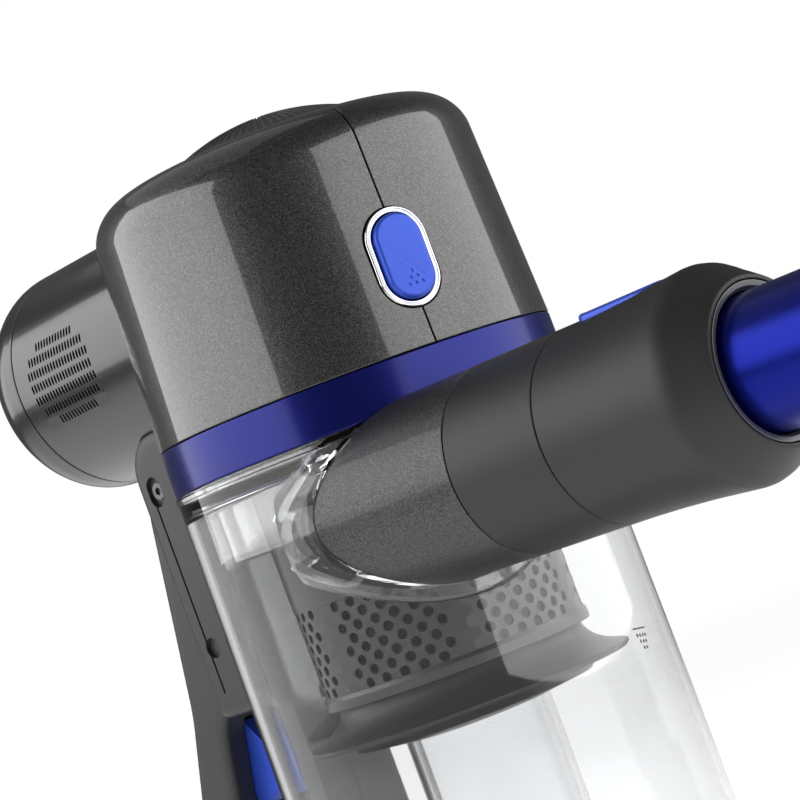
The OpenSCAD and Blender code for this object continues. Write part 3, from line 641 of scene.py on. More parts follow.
# Bezel and button
def alongStadium(name, section, height, width, domeR, steps=28):
    # sweeps (inset, out) section points round a stadium; out is measured from a drum of radius domeR
    outline = stadiumOutline(height, width, steps)
    n, m = len(outline), len(section)
    points, faces = [], []
    for inset, out in section:
        for x, y in stadiumOutline(height, width, steps, inset):
            depth = math.sqrt(max(0, (domeR + out) ** 2 - x * x))
            points.append(buttonFrame @ Vector((x, y, depth)))
    for k in range(m):
        t = (k + 1) % m
        for i in range(n):
            j = (i + 1) % n
            faces.append((k * n + i, k * n + j, t * n + j, t * n + i))
    return weighted(meshFrom(name, points, faces, 40))


def buildBezel(setup):
    face = setup["face"] - 0.25
    # bright ring with a shallow channel in its face
    section = rounded([(0, -5), (0, 0.15, 0.3), (0.55, 0.25, 0.2), (0.8, -0.12, 0.15), (1.0, -0.12, 0.15),
                       (1.15, 0.2, 0.15), (setup["rim"], 0.12, 0.3), (setup["rim"], -5)], True, 3)
    ring = alongStadium("buttonBezel", section, setup["height"], setup["width"], face)
    finish(ring, ["button_bezel"])


def buildButton(setup):
    # rounded-top key whose face carries six small dimples
    height, width = setup["height"], setup["width"]
    radius = setup["proud"]
    steps = 40
    rim = [(0, -9), (0, -1.2), (0.04, -0.75), (0.18, -0.4), (0.42, -0.16), (0.75, -0.03), (1.1, 0)]
    points, faces = [], []
    n = len(stadiumOutline(height, width, steps))
    for inset, out in rim:
        for x, y in stadiumOutline(height, width, steps, inset):
            points.append(buttonFrame @ Vector((x, y, math.sqrt((radius + out) ** 2 - x * x))))
    rows = len(rim)
    for k in range(rows - 1):
        for i in range(n):
            j = (i + 1) % n
            faces.append((k * n + i, k * n + j, (k + 1) * n + j, (k + 1) * n + i))
    dots = []
    for row in range(3):
        for col in range(row + 1):
            dots.append(((col - row / 2) * setup["pitch"],
                         -setup["drop"] + (1 - row) * setup["pitch"] * 0.86))
    key = meshFrom("podButton", points, faces + [tuple(range(n))[::-1],
                   tuple((rows - 1) * n + i for i in range(n))], 40)
    for x, y in dots:
        deep = spun("dimpleTool",
                    rounded([(0, 0), (setup["dimple"], 0, 0.1), (setup["dimple"] + 0.1, 3), (0, 3)],
                                          steps=3), (0, 0, 0), segments=16)
        deep.data.transform(Matrix.Scale(1, 4))
        spot = buttonFrame @ Vector((x, y, math.sqrt(radius ** 2 - x * x) - setup["depth"]))
        turn = buttonFrame.to_3x3().to_4x4()
        deep.data.transform(Matrix.Translation(spot * mm) @ turn)
        boolean(key, deep)
    finish(weighted(key), ["pod_button"])


buildBezel(bezelSetup)
buildButton(buttonSetup)
# painted shade: a dark well behind the gap round the bezel
well = prism("buttonWell", stadiumOutline(bezelSetup["height"] + 0.7, bezelSetup["width"] + 0.7, 20), 46.4,
             47.9,
             buttonFrame)
extra(well, "pod_shell_right", shadeBlack)
print("bezel and button made")


# Geometry node trees
def newTree(name, inputs):
    # inputs: (name, socket type); returns the tree, its input wires by name and the identifiers
    tree = bpy.data.node_groups.new(name, "GeometryNodeTree")
    tree.interface.new_socket("Geometry", in_out="INPUT", socket_type="NodeSocketGeometry")
    ids = {}
    for label, kind in inputs:
        ids[label] = tree.interface.new_socket(label, in_out="INPUT", socket_type=kind).identifier
    tree.interface.new_socket("Geometry", in_out="OUTPUT", socket_type="NodeSocketGeometry")
    source = tree.nodes.new("NodeGroupInput")
    wires = {s.name: Wire(tree, s) for s in source.outputs if s.name}
    return tree, wires, ids


def endTree(tree, geometry, material):
    realized = place(tree, "GeometryNodeRealizeInstances", None, {0: geometry})
    merged = place(tree, "GeometryNodeMergeByDistance", None, {0: realized, "Distance": 2e-6})
    done = place(tree, "GeometryNodeSetMaterial", None, {0: merged, "Material": material})
    out = tree.nodes.new("NodeGroupOutput")
    tree.links.new(done.socket, out.inputs[0])


def runTree(name, tree, ids, values):
    holder = newObject(name, bpy.data.meshes.new(name))
    change = holder.modifiers.new("nodes", "NODES")
    change.node_group = tree
    for label, value in values.items():
        change[ids[label]] = value
    return evaluated(holder)


def wrappedGridTree():
    # cells on a staggered grid, full or pierced by a mask, rolled round a drum along Z
    tree, given, ids = newTree("wrappedGrid", [
        ("columns", "NodeSocketInt"), ("rows", "NodeSocketInt"), ("pitch", "NodeSocketFloat"),
        ("rowPitch", "NodeSocketFloat"), ("stagger", "NodeSocketFloat"), ("radius", "NodeSocketFloat"),
        ("panel", "NodeSocketFloat"), ("bar", "NodeSocketFloat"), ("oval", "NodeSocketFloat"),
        ("pierced", "NodeSocketObject"), ("plain", "NodeSocketObject"), ("material", "NodeSocketMaterial")])
    index = place(tree, "GeometryNodeInputIndex")
    count = given["columns"] * given["rows"]
    line = place(tree, "GeometryNodeMeshLine", None, {"Count": count})
    row = (index / given["columns"]).math("FLOOR")
    column = index - row * given["columns"]
    odd = row - (row / 2).math("FLOOR") * 2
    across = column - (given["columns"] - 1) * 0.5 + odd * given["stagger"]
    up = row - (given["rows"] - 1) * 0.5
    spot = place(tree, "ShaderNodeCombineXYZ", None, {0: across * given["pitch"], 2: up * given["rowPitch"]})
    laid = place(tree, "GeometryNodeSetPosition", None, {0: line, "Position": spot})
    # panels meet every so many columns, at a bar left plain
    inPanel = across / given["panel"]
    share = (inPanel - inPanel.math("ROUND")).math("ABSOLUTE") * given["panel"]
    open1 = share > given["bar"]
    u = across / (given["columns"] * 0.5)
    v = up / (given["rows"] * 0.5)
    # with an oval above 0 the pierced cells keep to a rounded patch
    reach = (u.math("ABSOLUTE") ** 2.6 + v.math("ABSOLUTE") ** 2.6) * given["oval"]
    open2 = reach < 1.0
    isOpen = open1 * open2
    parts = []
    for label, choose in (("pierced", isOpen > 0.5), ("plain", isOpen < 0.5)):
        info = place(tree, "GeometryNodeObjectInfo", None, {0: given[label]}, out=4)
        parts.append(place(tree, "GeometryNodeInstanceOnPoints", None,
                           {"Points": laid, "Selection": choose, "Instance": info}))
    both = tree.nodes.new("GeometryNodeJoinGeometry")
    for part in parts:
        tree.links.new(part.socket, both.inputs[0])
    flat = place(tree, "GeometryNodeRealizeInstances", None, {0: Wire(tree, both.outputs[0])})
    where = place(tree, "GeometryNodeInputPosition")
    split = place(tree, "ShaderNodeSeparateXYZ", None, {0: where}).socket.node
    x, y, z = (Wire(tree, split.outputs[i]) for i in range(3))
    angle = x / given["radius"]
    reachOut = given["radius"] + y
    rolled = place(tree, "ShaderNodeCombineXYZ", None,
                   {0: reachOut * angle.math("COSINE"), 1: reachOut * angle.math("SINE"), 2: z})
    bent = place(tree, "GeometryNodeSetPosition", None, {0: flat, "Position": rolled})
    endTree(tree, bent, given["material"])
    return tree, ids


def fanTree():
    # one blade copied round the Z axis
    tree, given, ids = newTree("fan", [
        ("count", "NodeSocketInt"), ("blade", "NodeSocketObject"), ("turn", "NodeSocketFloat"),
        ("material", "NodeSocketMaterial")])
    line = place(tree, "GeometryNodeMeshLine", None, {"Count": given["count"], "Offset": (0, 0, 0)})
    index = place(tree, "GeometryNodeInputIndex")
    angle = index * 6.2831853 / given["count"] + given["turn"]
    turned = place(tree, "ShaderNodeCombineXYZ", None, {2: angle})
    info = place(tree, "GeometryNodeObjectInfo", None, {0: given["blade"]}, out=4)
    spread = place(tree, "GeometryNodeInstanceOnPoints", None,
                   {"Points": line, "Instance": info, "Rotation": turned})
    endTree(tree, spread, given["material"])
    return tree, ids


gridTree, gridIds = wrappedGridTree()
bladeTree, bladeIds = fanTree()


def hexCell(name, pitch, rowPitch, hole, depth, pierced):
    # a pointy-topped hexagon in XZ, Y outwards; a pierced one is closed all through
    a, h = pitch / 2, rowPitch / 3
    corners = [(0, 2 * h), (a, h), (a, -h), (0, -2 * h), (-a, -h), (-a, h)]
    ring = []
    for k in range(6):
        one, two = Vector(corners[k]), Vector(corners[(k + 1) % 6])
        ring += [one, (one + two) / 2]
    n = len(ring)
    if not pierced:
        return meshFrom(name, [(x, 0, z) for x, z in ring], [tuple(range(n))], recalc=False)
    return ringCell(name, ring, [(hole * Vector(p).normalized()) for p in ring], depth)


def ringCell(name, ring, hole, depth):
    n = len(ring)
    bevel = [h + (h.normalized() * 0.12 if h.length else h) for h in hole]
    layers = [(ring, 0), (bevel, 0), (hole, -0.12), (hole, -depth)]
    points = [(p[0], y, p[1]) for layer, y in layers for p in layer]
    faces = []
    for k in range(len(layers) - 1):
        for i in range(n):
            j = (i + 1) % n
            faces.append((k * n + i, k * n + j, (k + 1) * n + j, (k + 1) * n + i))
    made = meshFrom(name, points, faces, 30, recalc=False)
    if made.data.polygons[0].normal.y < 0:
        made.data.flip_normals()
    return made


def slotCell(name, pitch, rowPitch, slotLong, slotWide, depth, pierced):
    # rectangle in XZ (X round the drum, Z along it) with a stadium slot that is long in X
    a, b = pitch / 2, rowPitch / 2
    ring = [Vector(p) for p in ((a, -b / 3), (a, b / 3), (a, b), (a / 2, b), (0, b), (-a / 2, b), (-a, b),
                                (-a, b / 3), (-a, -b / 3), (-a, -b), (-a / 2, -b), (0, -b), (a / 2, -b),
                                (a, -b))]
    if not pierced:
        made = meshFrom(name, [(x, 0, z) for x, z in ring], [tuple(range(len(ring)))], recalc=False)
        if made.data.polygons[0].normal.y < 0:
            made.data.flip_normals()
        return made
    r, d = slotWide / 2, (slotLong - slotWide) / 2
    hole = []
    for p in ring:
        if abs(p[0]) > a * 0.75:
            side = 1 if p[0] > 0 else -1
            lean = math.atan2(p[1] / b, 0.9)
            hole.append(Vector((side * (d + r * math.cos(lean)), r * math.sin(lean))))
        else:
            hole.append(Vector((p[0] / (a / 2) * d * 0.9, r * (1 if p[1] > 0 else -1))))
    return ringCell(name, ring, hole, depth)


def radialShade(made, centre, axis, limit=0.97):
    # the drum's own faces take the drum's true normals, the rest stay crisp
    mesh = made.data
    normals = []
    for face in mesh.polygons:
        for loop in face.loop_indices:
            spot = mesh.vertices[mesh.loops[loop].vertex_index].co - Vector(centre) * mm
            spot[axis] = 0
            out = spot.normalized()
            normals.append(out if abs(face.normal.dot(out)) > limit and face.normal.dot(out) > 0
                           else face.normal.copy())
    mesh.shade_smooth()
    mesh.normals_split_custom_set(normals)
    return made


# Ribbed filter cap
capSetup = {"radius": 32.0, "rise": 8.5, "ribs": 72, "ribHeight": 0.42, "ribStart": 3.2}


def buildCap(setup):
    high = boxMm("filter_cap")[1]
    rimZ = high[2] - setup["rise"]
    domeR = (setup["radius"] ** 2 + setup["rise"] ** 2) / (2 * setup["rise"])
    sweep = math.degrees(math.asin((setup["radius"] - 1.2) / domeR))
    dome = arcPoints(0, setup["rise"] - domeR, domeR, 90 - sweep, 90, 22)
    profile = [(28.6 - 2, -2.4), (28.6 - 2, -11.8), (28.4, -12), (28.6, -11.8), (28.6, -2.6),
               (setup["radius"] - 0.3, -2.4), (setup["radius"], -2.1), (setup["radius"], -0.9),
               (setup["radius"] - 0.35, -0.2)] + dome + [(0, -2.4)]
    body = spun("filterCap", profile, (0, 0, rimZ), closed=True, segments=144, smoothAngle=42)
    # one rib: a low ridge that narrows towards the middle of the dome
    points, faces = [], []
    steps = 16
    for k in range(steps + 1):
        t = k / steps
        r = setup["ribStart"] + (setup["radius"] - 2.2 - setup["ribStart"]) * t
        z = setup["rise"] - domeR + math.sqrt(domeR ** 2 - r * r)
        half = r * math.pi / setup["ribs"] * 0.52
        tall = setup["ribHeight"] * min(1, t * 6 + 0.1, (1 - t) * 8 + 0.05)
        for u, lift in ((-half, -0.15), (-half * 0.55, tall * 0.8), (0, tall), (half * 0.55, tall * 0.8),
                        (half, -0.15)):
            points.append((r, u, z + lift))
    for k in range(steps):
        for i in range(4):
            faces.append((k * 5 + i, k * 5 + i + 1, (k + 1) * 5 + i + 1, (k + 1) * 5 + i))
    faces += [(0, 1, 2, 3, 4)[::-1], tuple(steps * 5 + i for i in range(5))]
    faces += [(k * 5, (k + 1) * 5, (k + 1) * 5 + 4, k * 5 + 4) for k in range(steps)]
    rib = meshFrom("capRib", points, faces, 60)
    ribs = runTree("filterCapRibs", bladeTree, bladeIds, {
        "count": setup["ribs"], "blade": rib, "turn": 0.0, "material": finishes["cap_plastic"]})
    ribs.data.transform(Matrix.Translation((0, 0, rimZ * mm)))
    bpy.data.objects.remove(rib)
    finish(body, ["filter_cap"])
    extra(ribs, "filter_cap", finishes["cap_plastic"])


buildCap(capSetup)
print("filter cap made")

# Clear cup, guide wall and spigot
cupSetup = {"wall": 2.4, "lip": 60.2, "neck": 54.6, "top": 59.8, "foot": 61.5, "spigotR": 30.5, "reach": 61.8}


def buildCup(setup):
    z0, w = lidHigh[2] + 0.2, setup["wall"]
    foot, top = setup["foot"], setup["top"]
    profile = rounded([
        (foot - w, z0, 0.4), (foot, z0, 0.6), (top, ringZ - 2.1, 0.4), (setup["lip"], ringZ - 2, 0.2),
        (setup["lip"], ringZ - 0.2, 0.3), (setup["neck"], ringZ - 0.2, 0.2), (setup["neck"], cupHigh[2], 0.5),
        (setup["neck"] - w, cupHigh[2], 0.5), (setup["neck"] - w, ringZ - 3, 1.5),
        (top + 0.2 - w, ringZ - 7, 2.5)])
    cup = spun("dustCup", profile, cupAxis, segments=192)
    boolean(cup, bar("pipeTool", pipeR + 0.3, -90, -10, pipeX, pipeZ, 128))
    finish(cup, ["dust_cup"])
    spigot = buildSpigot(setup)
    extra(spigot, "dust_cup", finishes["clear_plastic"])
    # the arms of the cup's hinge keep their own moulded blocks
    for name, spots in (("cupHingeArms", ((-18.3, 12.0), (6.3, 12.0))),):
        arms = []
        for x, width in spots:
            outline = arcPoints(66.5, 3.6, 3.6, -180, 0, 14) + [(70.1, 11.6), (69.2, 12.2), (60.9, 12.2),
                                                                (60.9, 6.4), (62.9, 6.4)]
            turn = Matrix(((0, 0, 1, 0), (1, 0, 0, 0), (0, 1, 0, 0), (0, 0, 0, 1)))
            arm = prism(name, outline, x, x + width, turn)
            arms.append(softenEdges(arm, 0.5, 2, 40))
        joinAll(arms, name)
        extra(arms[0], "dust_cup", finishes["clear_plastic"])


def joinAll(pieces, name):
    mesh = bpy.data.meshes.new(name)
    whole = bmesh.new()
    for piece in pieces:
        whole.from_mesh(piece.data)
    whole.to_mesh(mesh)
    whole.free()
    mesh.shade_smooth()
    mesh.set_sharp_from_angle(angle=math.radians(38))
    pieces[0].data = mesh
    for piece in pieces[1:]:
        bpy.data.objects.remove(piece)
    pieces[0].name = name
    return pieces[0]


def buildSpigot(setup):
    # raised clear lip round the pipe's root, level with the cup's curve
    inner, outer, limit = pipeR + 0.3, setup["spigotR"], ringZ - 2.4
    gap = math.asin((limit - pipeZ) / inner)
    start, end = math.pi - gap, 2 * math.pi + gap
    sections = 96
    points, faces = [], []
    for s in range(sections + 1):
        a = start + (end - start) * s / sections
        corner = []
        for r, front in ((inner, 0), (outer, 0), (outer, 1), (inner, 1)):
            x = pipeX + r * math.cos(a)
            z = min(limit, pipeZ + r * math.sin(a))
            reach = (setup["reach"] if front else
                     setup["top"] + 0.1 + (setup["foot"] - setup["top"]) * (1 - z / ringZ))
            y = -max(16.0, math.sqrt(max(0.0, reach ** 2 - x * x)))
            corner.append(Vector((x, y, z)))
        b, c = corner[1], corner[2]
        d, e = corner[3], corner[0]
        soft = 1.2
        edge = [e, b]
        side, top = (b - c).normalized(), (d - c).normalized()
        for k in range(5):
            t = math.pi / 2 * k / 4
            edge.append(c + side * soft * (1 - math.sin(t)) + top * soft * (1 - math.cos(t)))
        edge.append(d)
        points += edge
    m = 8
    for s in range(sections):
        for i in range(m):
            j = (i + 1) % m
            faces.append((s * m + i, s * m + j, (s + 1) * m + j, (s + 1) * m + i))
    faces += [tuple(range(m))[::-1], tuple(sections * m + i for i in range(m))]
    return weighted(meshFrom("pipeSpigot", points, faces, 40))


buildCup(cupSetup)
guideLow = boxMm("inlet_guide")[0]
guideR = boxMm("inlet_guide")[1][0]
guideProfile = rounded([(guideR - 1.4, guideLow[2], 0.6), (guideR, guideLow[2], 0.6),
                        (guideR, ringTop - 0.2, 0.3),
                        (guideR - 1.4, ringTop - 0.2, 0.3)])
finish(spun("inletGuide", guideProfile, cupAxis, segments=192), ["inlet_guide"])
print("cup made")

# Shroud with its perforated panels, and the skirt
shroudSetup = {"columns": 42, "rows": 8, "rowPitch": 3.27, "holeR": 1.45, "panel": 7.0, "gap": 0.75,
               "turn": -4.55,
               "foot": 3.5, "window": 26.5, "depth": 1.0, "coreR": 33.5}


def buildShroud(setup):
    low, high = boxMm("shroud_frame")
    r = high[0] - 0.25
    pitch, rowPitch = 2 * math.pi * r / setup["columns"], setup["rowPitch"]
    cell = hexCell("piercedCell", pitch, rowPitch, setup["holeR"], setup["depth"], True)
    plain = hexCell("plainCell", pitch, rowPitch, 0, 0, False)
    if plain.data.polygons[0].normal.y < 0:
        plain.data.flip_normals()
    middle = low[2] + setup["foot"] + setup["window"] / 2
    screen = runTree("shroudScreen", gridTree, gridIds, {
        "columns": setup["columns"], "rows": setup["rows"], "pitch": pitch * mm, "rowPitch": rowPitch * mm,
        "stagger": 0.5, "radius": r * mm, "panel": setup["panel"], "bar": setup["gap"], "oval": 0.0,
        "pierced": cell, "plain": plain, "material": finishes["shroud_steel"]})
    bpy.data.objects.remove(cell)
    bpy.data.objects.remove(plain)
    screen.data.transform(Matrix.Translation((0, 0, middle * mm))
                          @ Matrix.Rotation(math.radians(setup["turn"]), 4, "Z"))
    radialShade(screen, (0, 0, 0), 2)
    finish(screen, ["shroud_screen"], finishes["shroud_steel"])
    # solid bands above and below the screen, with a bevelled step
    half = (setup["rows"] - 1) * rowPitch / 2 + setup["holeR"] - 0.15
    top = rounded([(r - 1.6, middle + half, 0.2), (r + 0.25, middle + half, 0.2), (r + 0.25, high[2], 0.3),
                   (r - 1.6, high[2], 0.3)])
    foot = rounded([(r - 1.6, low[2], 0.2), (r + 0.9, low[2], 0.3), (r + 0.9, middle - half - 1.2, 0.3),
                    (r + 0.25, middle - half, 0.2), (r - 1.6, middle - half, 0.2)])
    bands = joinAll([spun("shroudTop", top, cupAxis, segments=144),
                     spun("shroudFoot", foot, cupAxis, segments=144)],
                    "shroudBands")
    finish(bands, ["shroud_frame"])
    # painted shade: a dark drum behind the holes, where the inside of the shroud lies in shade
    shadeCore = [(setup["coreR"], low[2] + 1), (setup["coreR"], high[2] - 1)]
    extra(spun("shroudCore",
               shadeCore + [(setup["coreR"] - 0.6, high[2] - 1), (setup["coreR"] - 0.6, low[2] + 1)], cupAxis,
               segments=96, closed=True), "shroud_frame", shadeBlack)


skirtSetup = {"root": 37.0, "bore": 22.3}


def buildSkirt(setup):
    high = boxMm("shroud_skirt")[1]
    rim, top = high[0], high[2]
    r0, bore = setup["root"], setup["bore"]
    outer = [(r0, 0), (r0 + 0.3, -1.5), (r0 + 1.2, -3.4), (r0 + 2.8, -5.2), (r0 + 5.2, -6.9),
             (r0 + 8.2, -8.2),
             (rim - 0.5, -8.9), (rim - 0.05, -9.3), (rim - 0.1, -9.9), (rim - 0.8, -10.6)]
    inner = [(r0 + 6, -9.4), (r0 + 3, -8.6), (r0 + 1, -10.5), (r0 - 1, -13.4), (bore, -15.4), (bore, -13.4),
             (r0 - 3, -5), (r0 - 3, 0)]
    profile = outer + inner
    finish(spun("shroudSkirt", profile, (0, 0, top), segments=144, smoothAngle=50), ["shroud_skirt"])


buildShroud(shroudSetup)
buildSkirt(skirtSetup)
print("shroud made")

# Fill mark on the cup's inside
markSetup = {"z": ringZ - 82, "turn": -23, "line": 9.0, "dot": 0.6, "gap": 1.9}


def buildFillMark(setup):
    points, faces = [], []
    inside = cupSetup["top"] - cupSetup["wall"] + 0.75

    def stick(u, v):
        a = math.radians(setup["turn"]) + u / inside
        return ((inside - 0.06) * math.cos(a), (inside - 0.06) * math.sin(a), setup["z"] + v)

    def patch(outline):
        start = len(points)
        for u, v in outline:
            points.append(stick(u, v))
        faces.append(tuple(range(start, start + len(outline))))

    patch([(-setup["line"] / 2, 0), (setup["line"] / 2, 0), (setup["line"] / 2, 0.45),
           (-setup["line"] / 2, 0.45)])
    for row in range(3):
        for col in range(4 - row):
            u, v = (col - (3 - row) / 2) * setup["gap"], -1.9 - row * setup["gap"]
            patch([(u + setup["dot"] * math.cos(k * math.pi / 6),
                    v + setup["dot"] * math.sin(k * math.pi / 6))
                   for k in range(12)])
    mark = meshFrom("fillMark", points, faces, recalc=False)
    extra(mark, "dust_cup", markInk)


buildFillMark(markSetup)

# Inlet pipe, sleeve, collar and mouth
pipeSetup = {"wall": 2.6, "seam": 0.3}


def pipeProfile(y0, y1, outer, inner, soft=0.35):
    return rounded([(inner, y0), (outer, y0, soft), (outer, y1, soft), (inner, y1)], steps=4)


def buildPipe(setup):
    # painted root whose end follows the cup's wall
    inner = pipeR - setup["wall"]
    steps = 192
    points, faces = [], []
    along = [0.0, 0.02, 0.1, 0.3, 0.6, 0.9, 0.985, 0.996]
    end = sleeveStart - setup["seam"]
    m = len(along) + 4
    for s in range(steps):
        a = 2 * math.pi * s / steps
        for ring, r in (("out", pipeR), ("in", inner)):
            x, z = pipeX + r * math.cos(a), pipeZ + r * math.sin(a)
            wall = 58.3 if z < ringZ - 1 else 60.7
            root = math.sqrt(max(0.0, wall ** 2 - x * x))
            if ring == "out":
                points += [(x, -(root + (end - root) * t), z) for t in along]
                edge = r - 0.3
                points.append((pipeX + (r - 0.08) * math.cos(a), -(end - 0.08),
                               pipeZ + (r - 0.08) * math.sin(a)))
                points.append((pipeX + edge * math.cos(a), -end, pipeZ + edge * math.sin(a)))
            else:
                points += [(x, -end, z), (x, -root, z)]
    for s in range(steps):
        t = (s + 1) % steps
        for i in range(m):
            j = (i + 1) % m
            faces.append((s * m + i, s * m + j, t * m + j, t * m + i))
    pipe = weighted(meshFrom("inletPipe", points, faces, 38))
    finish(pipe, ["inlet_pipe"], speckledPipe)
    centre = (pipeX, 0, pipeZ)
    sleeve = spun("inletSleeve", pipeProfile(sleeveStart, sleeveEnd, pipeR, inner), centre, "front", 144)
    finish(sleeve, ["inlet_sleeve"])


def buildCollar():
    low, high = boxMm("inlet_collar")
    swell = (high[0] - low[0]) / 2
    mouth = 19.95
    y = mouthY
    start = collarStart
    profile = [(pipeR - 2.6, start), (pipeR - 0.3, start), (pipeR - 0.08, start + 0.08), (pipeR, start + 0.3)]
    profile += [(pipeR + 0.02, start + 6), (pipeR + 0.25, start + 16), (pipeR + 0.7, start + 26),
                (swell - 0.25, y - 17), (swell, y - 13.5), (swell - 0.05, y - 12.2), (swell - 0.5, y - 10.4),
                (swell - 1.5, y - 8.6)]
    # rounded crease, then the convex nose
    profile += [(swell - 2.9, y - 6.4), (swell - 4.3, y - 3.9), (mouth + 1.6, y - 0.6),
                (mouth + 1.2, y - 0.15),
                (mouth + 0.8, y), (mouth + 0.3, y - 0.1), (mouth, y - 0.5), (mouth, y - 8),
                (pipeR - 2.6, y - 11)]
    collar = spun("inletCollar", profile, (pipeX, 0, pipeZ), "front", 144, smoothAngle=40)
    keyLow, keyHigh = boxMm("wand_release")
    middleY = (keyLow[1] + keyHigh[1]) / 2
    flat = Matrix(((1, 0, 0, pipeX), (0, 1, 0, middleY), (0, 0, 1, 0), (0, 0, 0, 1)))
    boolean(collar, prism("slotTool", stadiumOutline(28.8, 12.8, 20), pipeZ + 5, pipeZ + 60, flat))
    finish(collar, ["inlet_collar"])
    # blue release key on top of the collar
    top = keyHigh[2] - pipeZ
    layers = [(0, keyLow[2] - pipeZ - top), (0, -1.0), (0.06, -0.6), (0.25, -0.25), (0.6, -0.06), (1.0, 0)]
    points, faces = [], []
    n = len(stadiumOutline(28, 12, 24))
    for inset, out in layers:
        for x, v in stadiumOutline(28, 12, 24, inset):
            points.append(flat @ Vector((
                x, v, pipeZ + (math.sqrt((top + out) ** 2 - x * x) if out > -1.5 else top + out))))
    for k in range(len(layers) - 1):
        faces += [(k * n + i, k * n + (i + 1) % n, (k + 1) * n + (i + 1) % n,
                   (k + 1) * n + i) for i in range(n)]
    faces += [tuple(range(n))[::-1], tuple((len(layers) - 1) * n + i for i in range(n))]
    key = weighted(meshFrom("wandRelease", points, faces, 40))
    finish(key, ["wand_release"])
    mouthRing = spun("mouthRing", rounded([
        (wandR + 0.4, mouthY - 2, 0), (mouth - 0.1, mouthY - 2, 0), (mouth - 0.1, mouthY - 0.1, 0.2),
        (wandR + 1.2, mouthY - 0.4, 0.4), (wandR + 0.4, mouthY - 1.6, 0.3)]), (pipeX, 0, pipeZ), "front", 128)
    finish(mouthRing, ["mouth_ring"], mouthMetal)


def buildWand():
    centre = (pipeX, 0, pipeZ)
    tube = spun("wandTube", rounded([(wandR - 1.2, wandIn), (wandR, wandIn, 0.4), (wandR, wandOut),
                                     (wandR - 1.2, wandOut)]),
                centre, "front", 144)
    finish(tube, ["wand_tube"])
    low, high = boxMm("wand_coupling")
    outer = (high[0] - low[0]) / 2
    y0, y1 = -high[1], -low[1]
    profile = rounded([
        (wandR + 0.02, y0, 0.1), (outer - 1.6, y0, 0.8), (outer, y0 + 3.4, 1.5), (outer, y0 + 9.6, 0.3),
        (outer - 0.5, y0 + 10, 0.2), (outer - 0.5, y0 + 10.8, 0.2), (outer, y0 + 11.2, 0.3),
        (outer, y1 - 2, 1.2),
        (outer - 1.2, y1, 0.6), (wandR + 0.4, y1, 0.5), (wandR + 0.4, wandOut + 0.1),
        (wandR + 0.02, wandOut + 0.1)])
    finish(spun("wandCoupling", profile, centre, "front", 144), ["wand_coupling"])


buildPipe(pipeSetup)
buildCollar()
buildWand()
print("pipe and wand made")

# Motor drum with its slotted grilles
motorSetup = {"wall": 2.5, "slotPitch": 1.55, "rowPitch": 4.0, "rows": 7, "cols": 21, "slotLong": 2.6,
              "slotWide": 0.78,
              "middle": 82.5, "oval": 1.05}


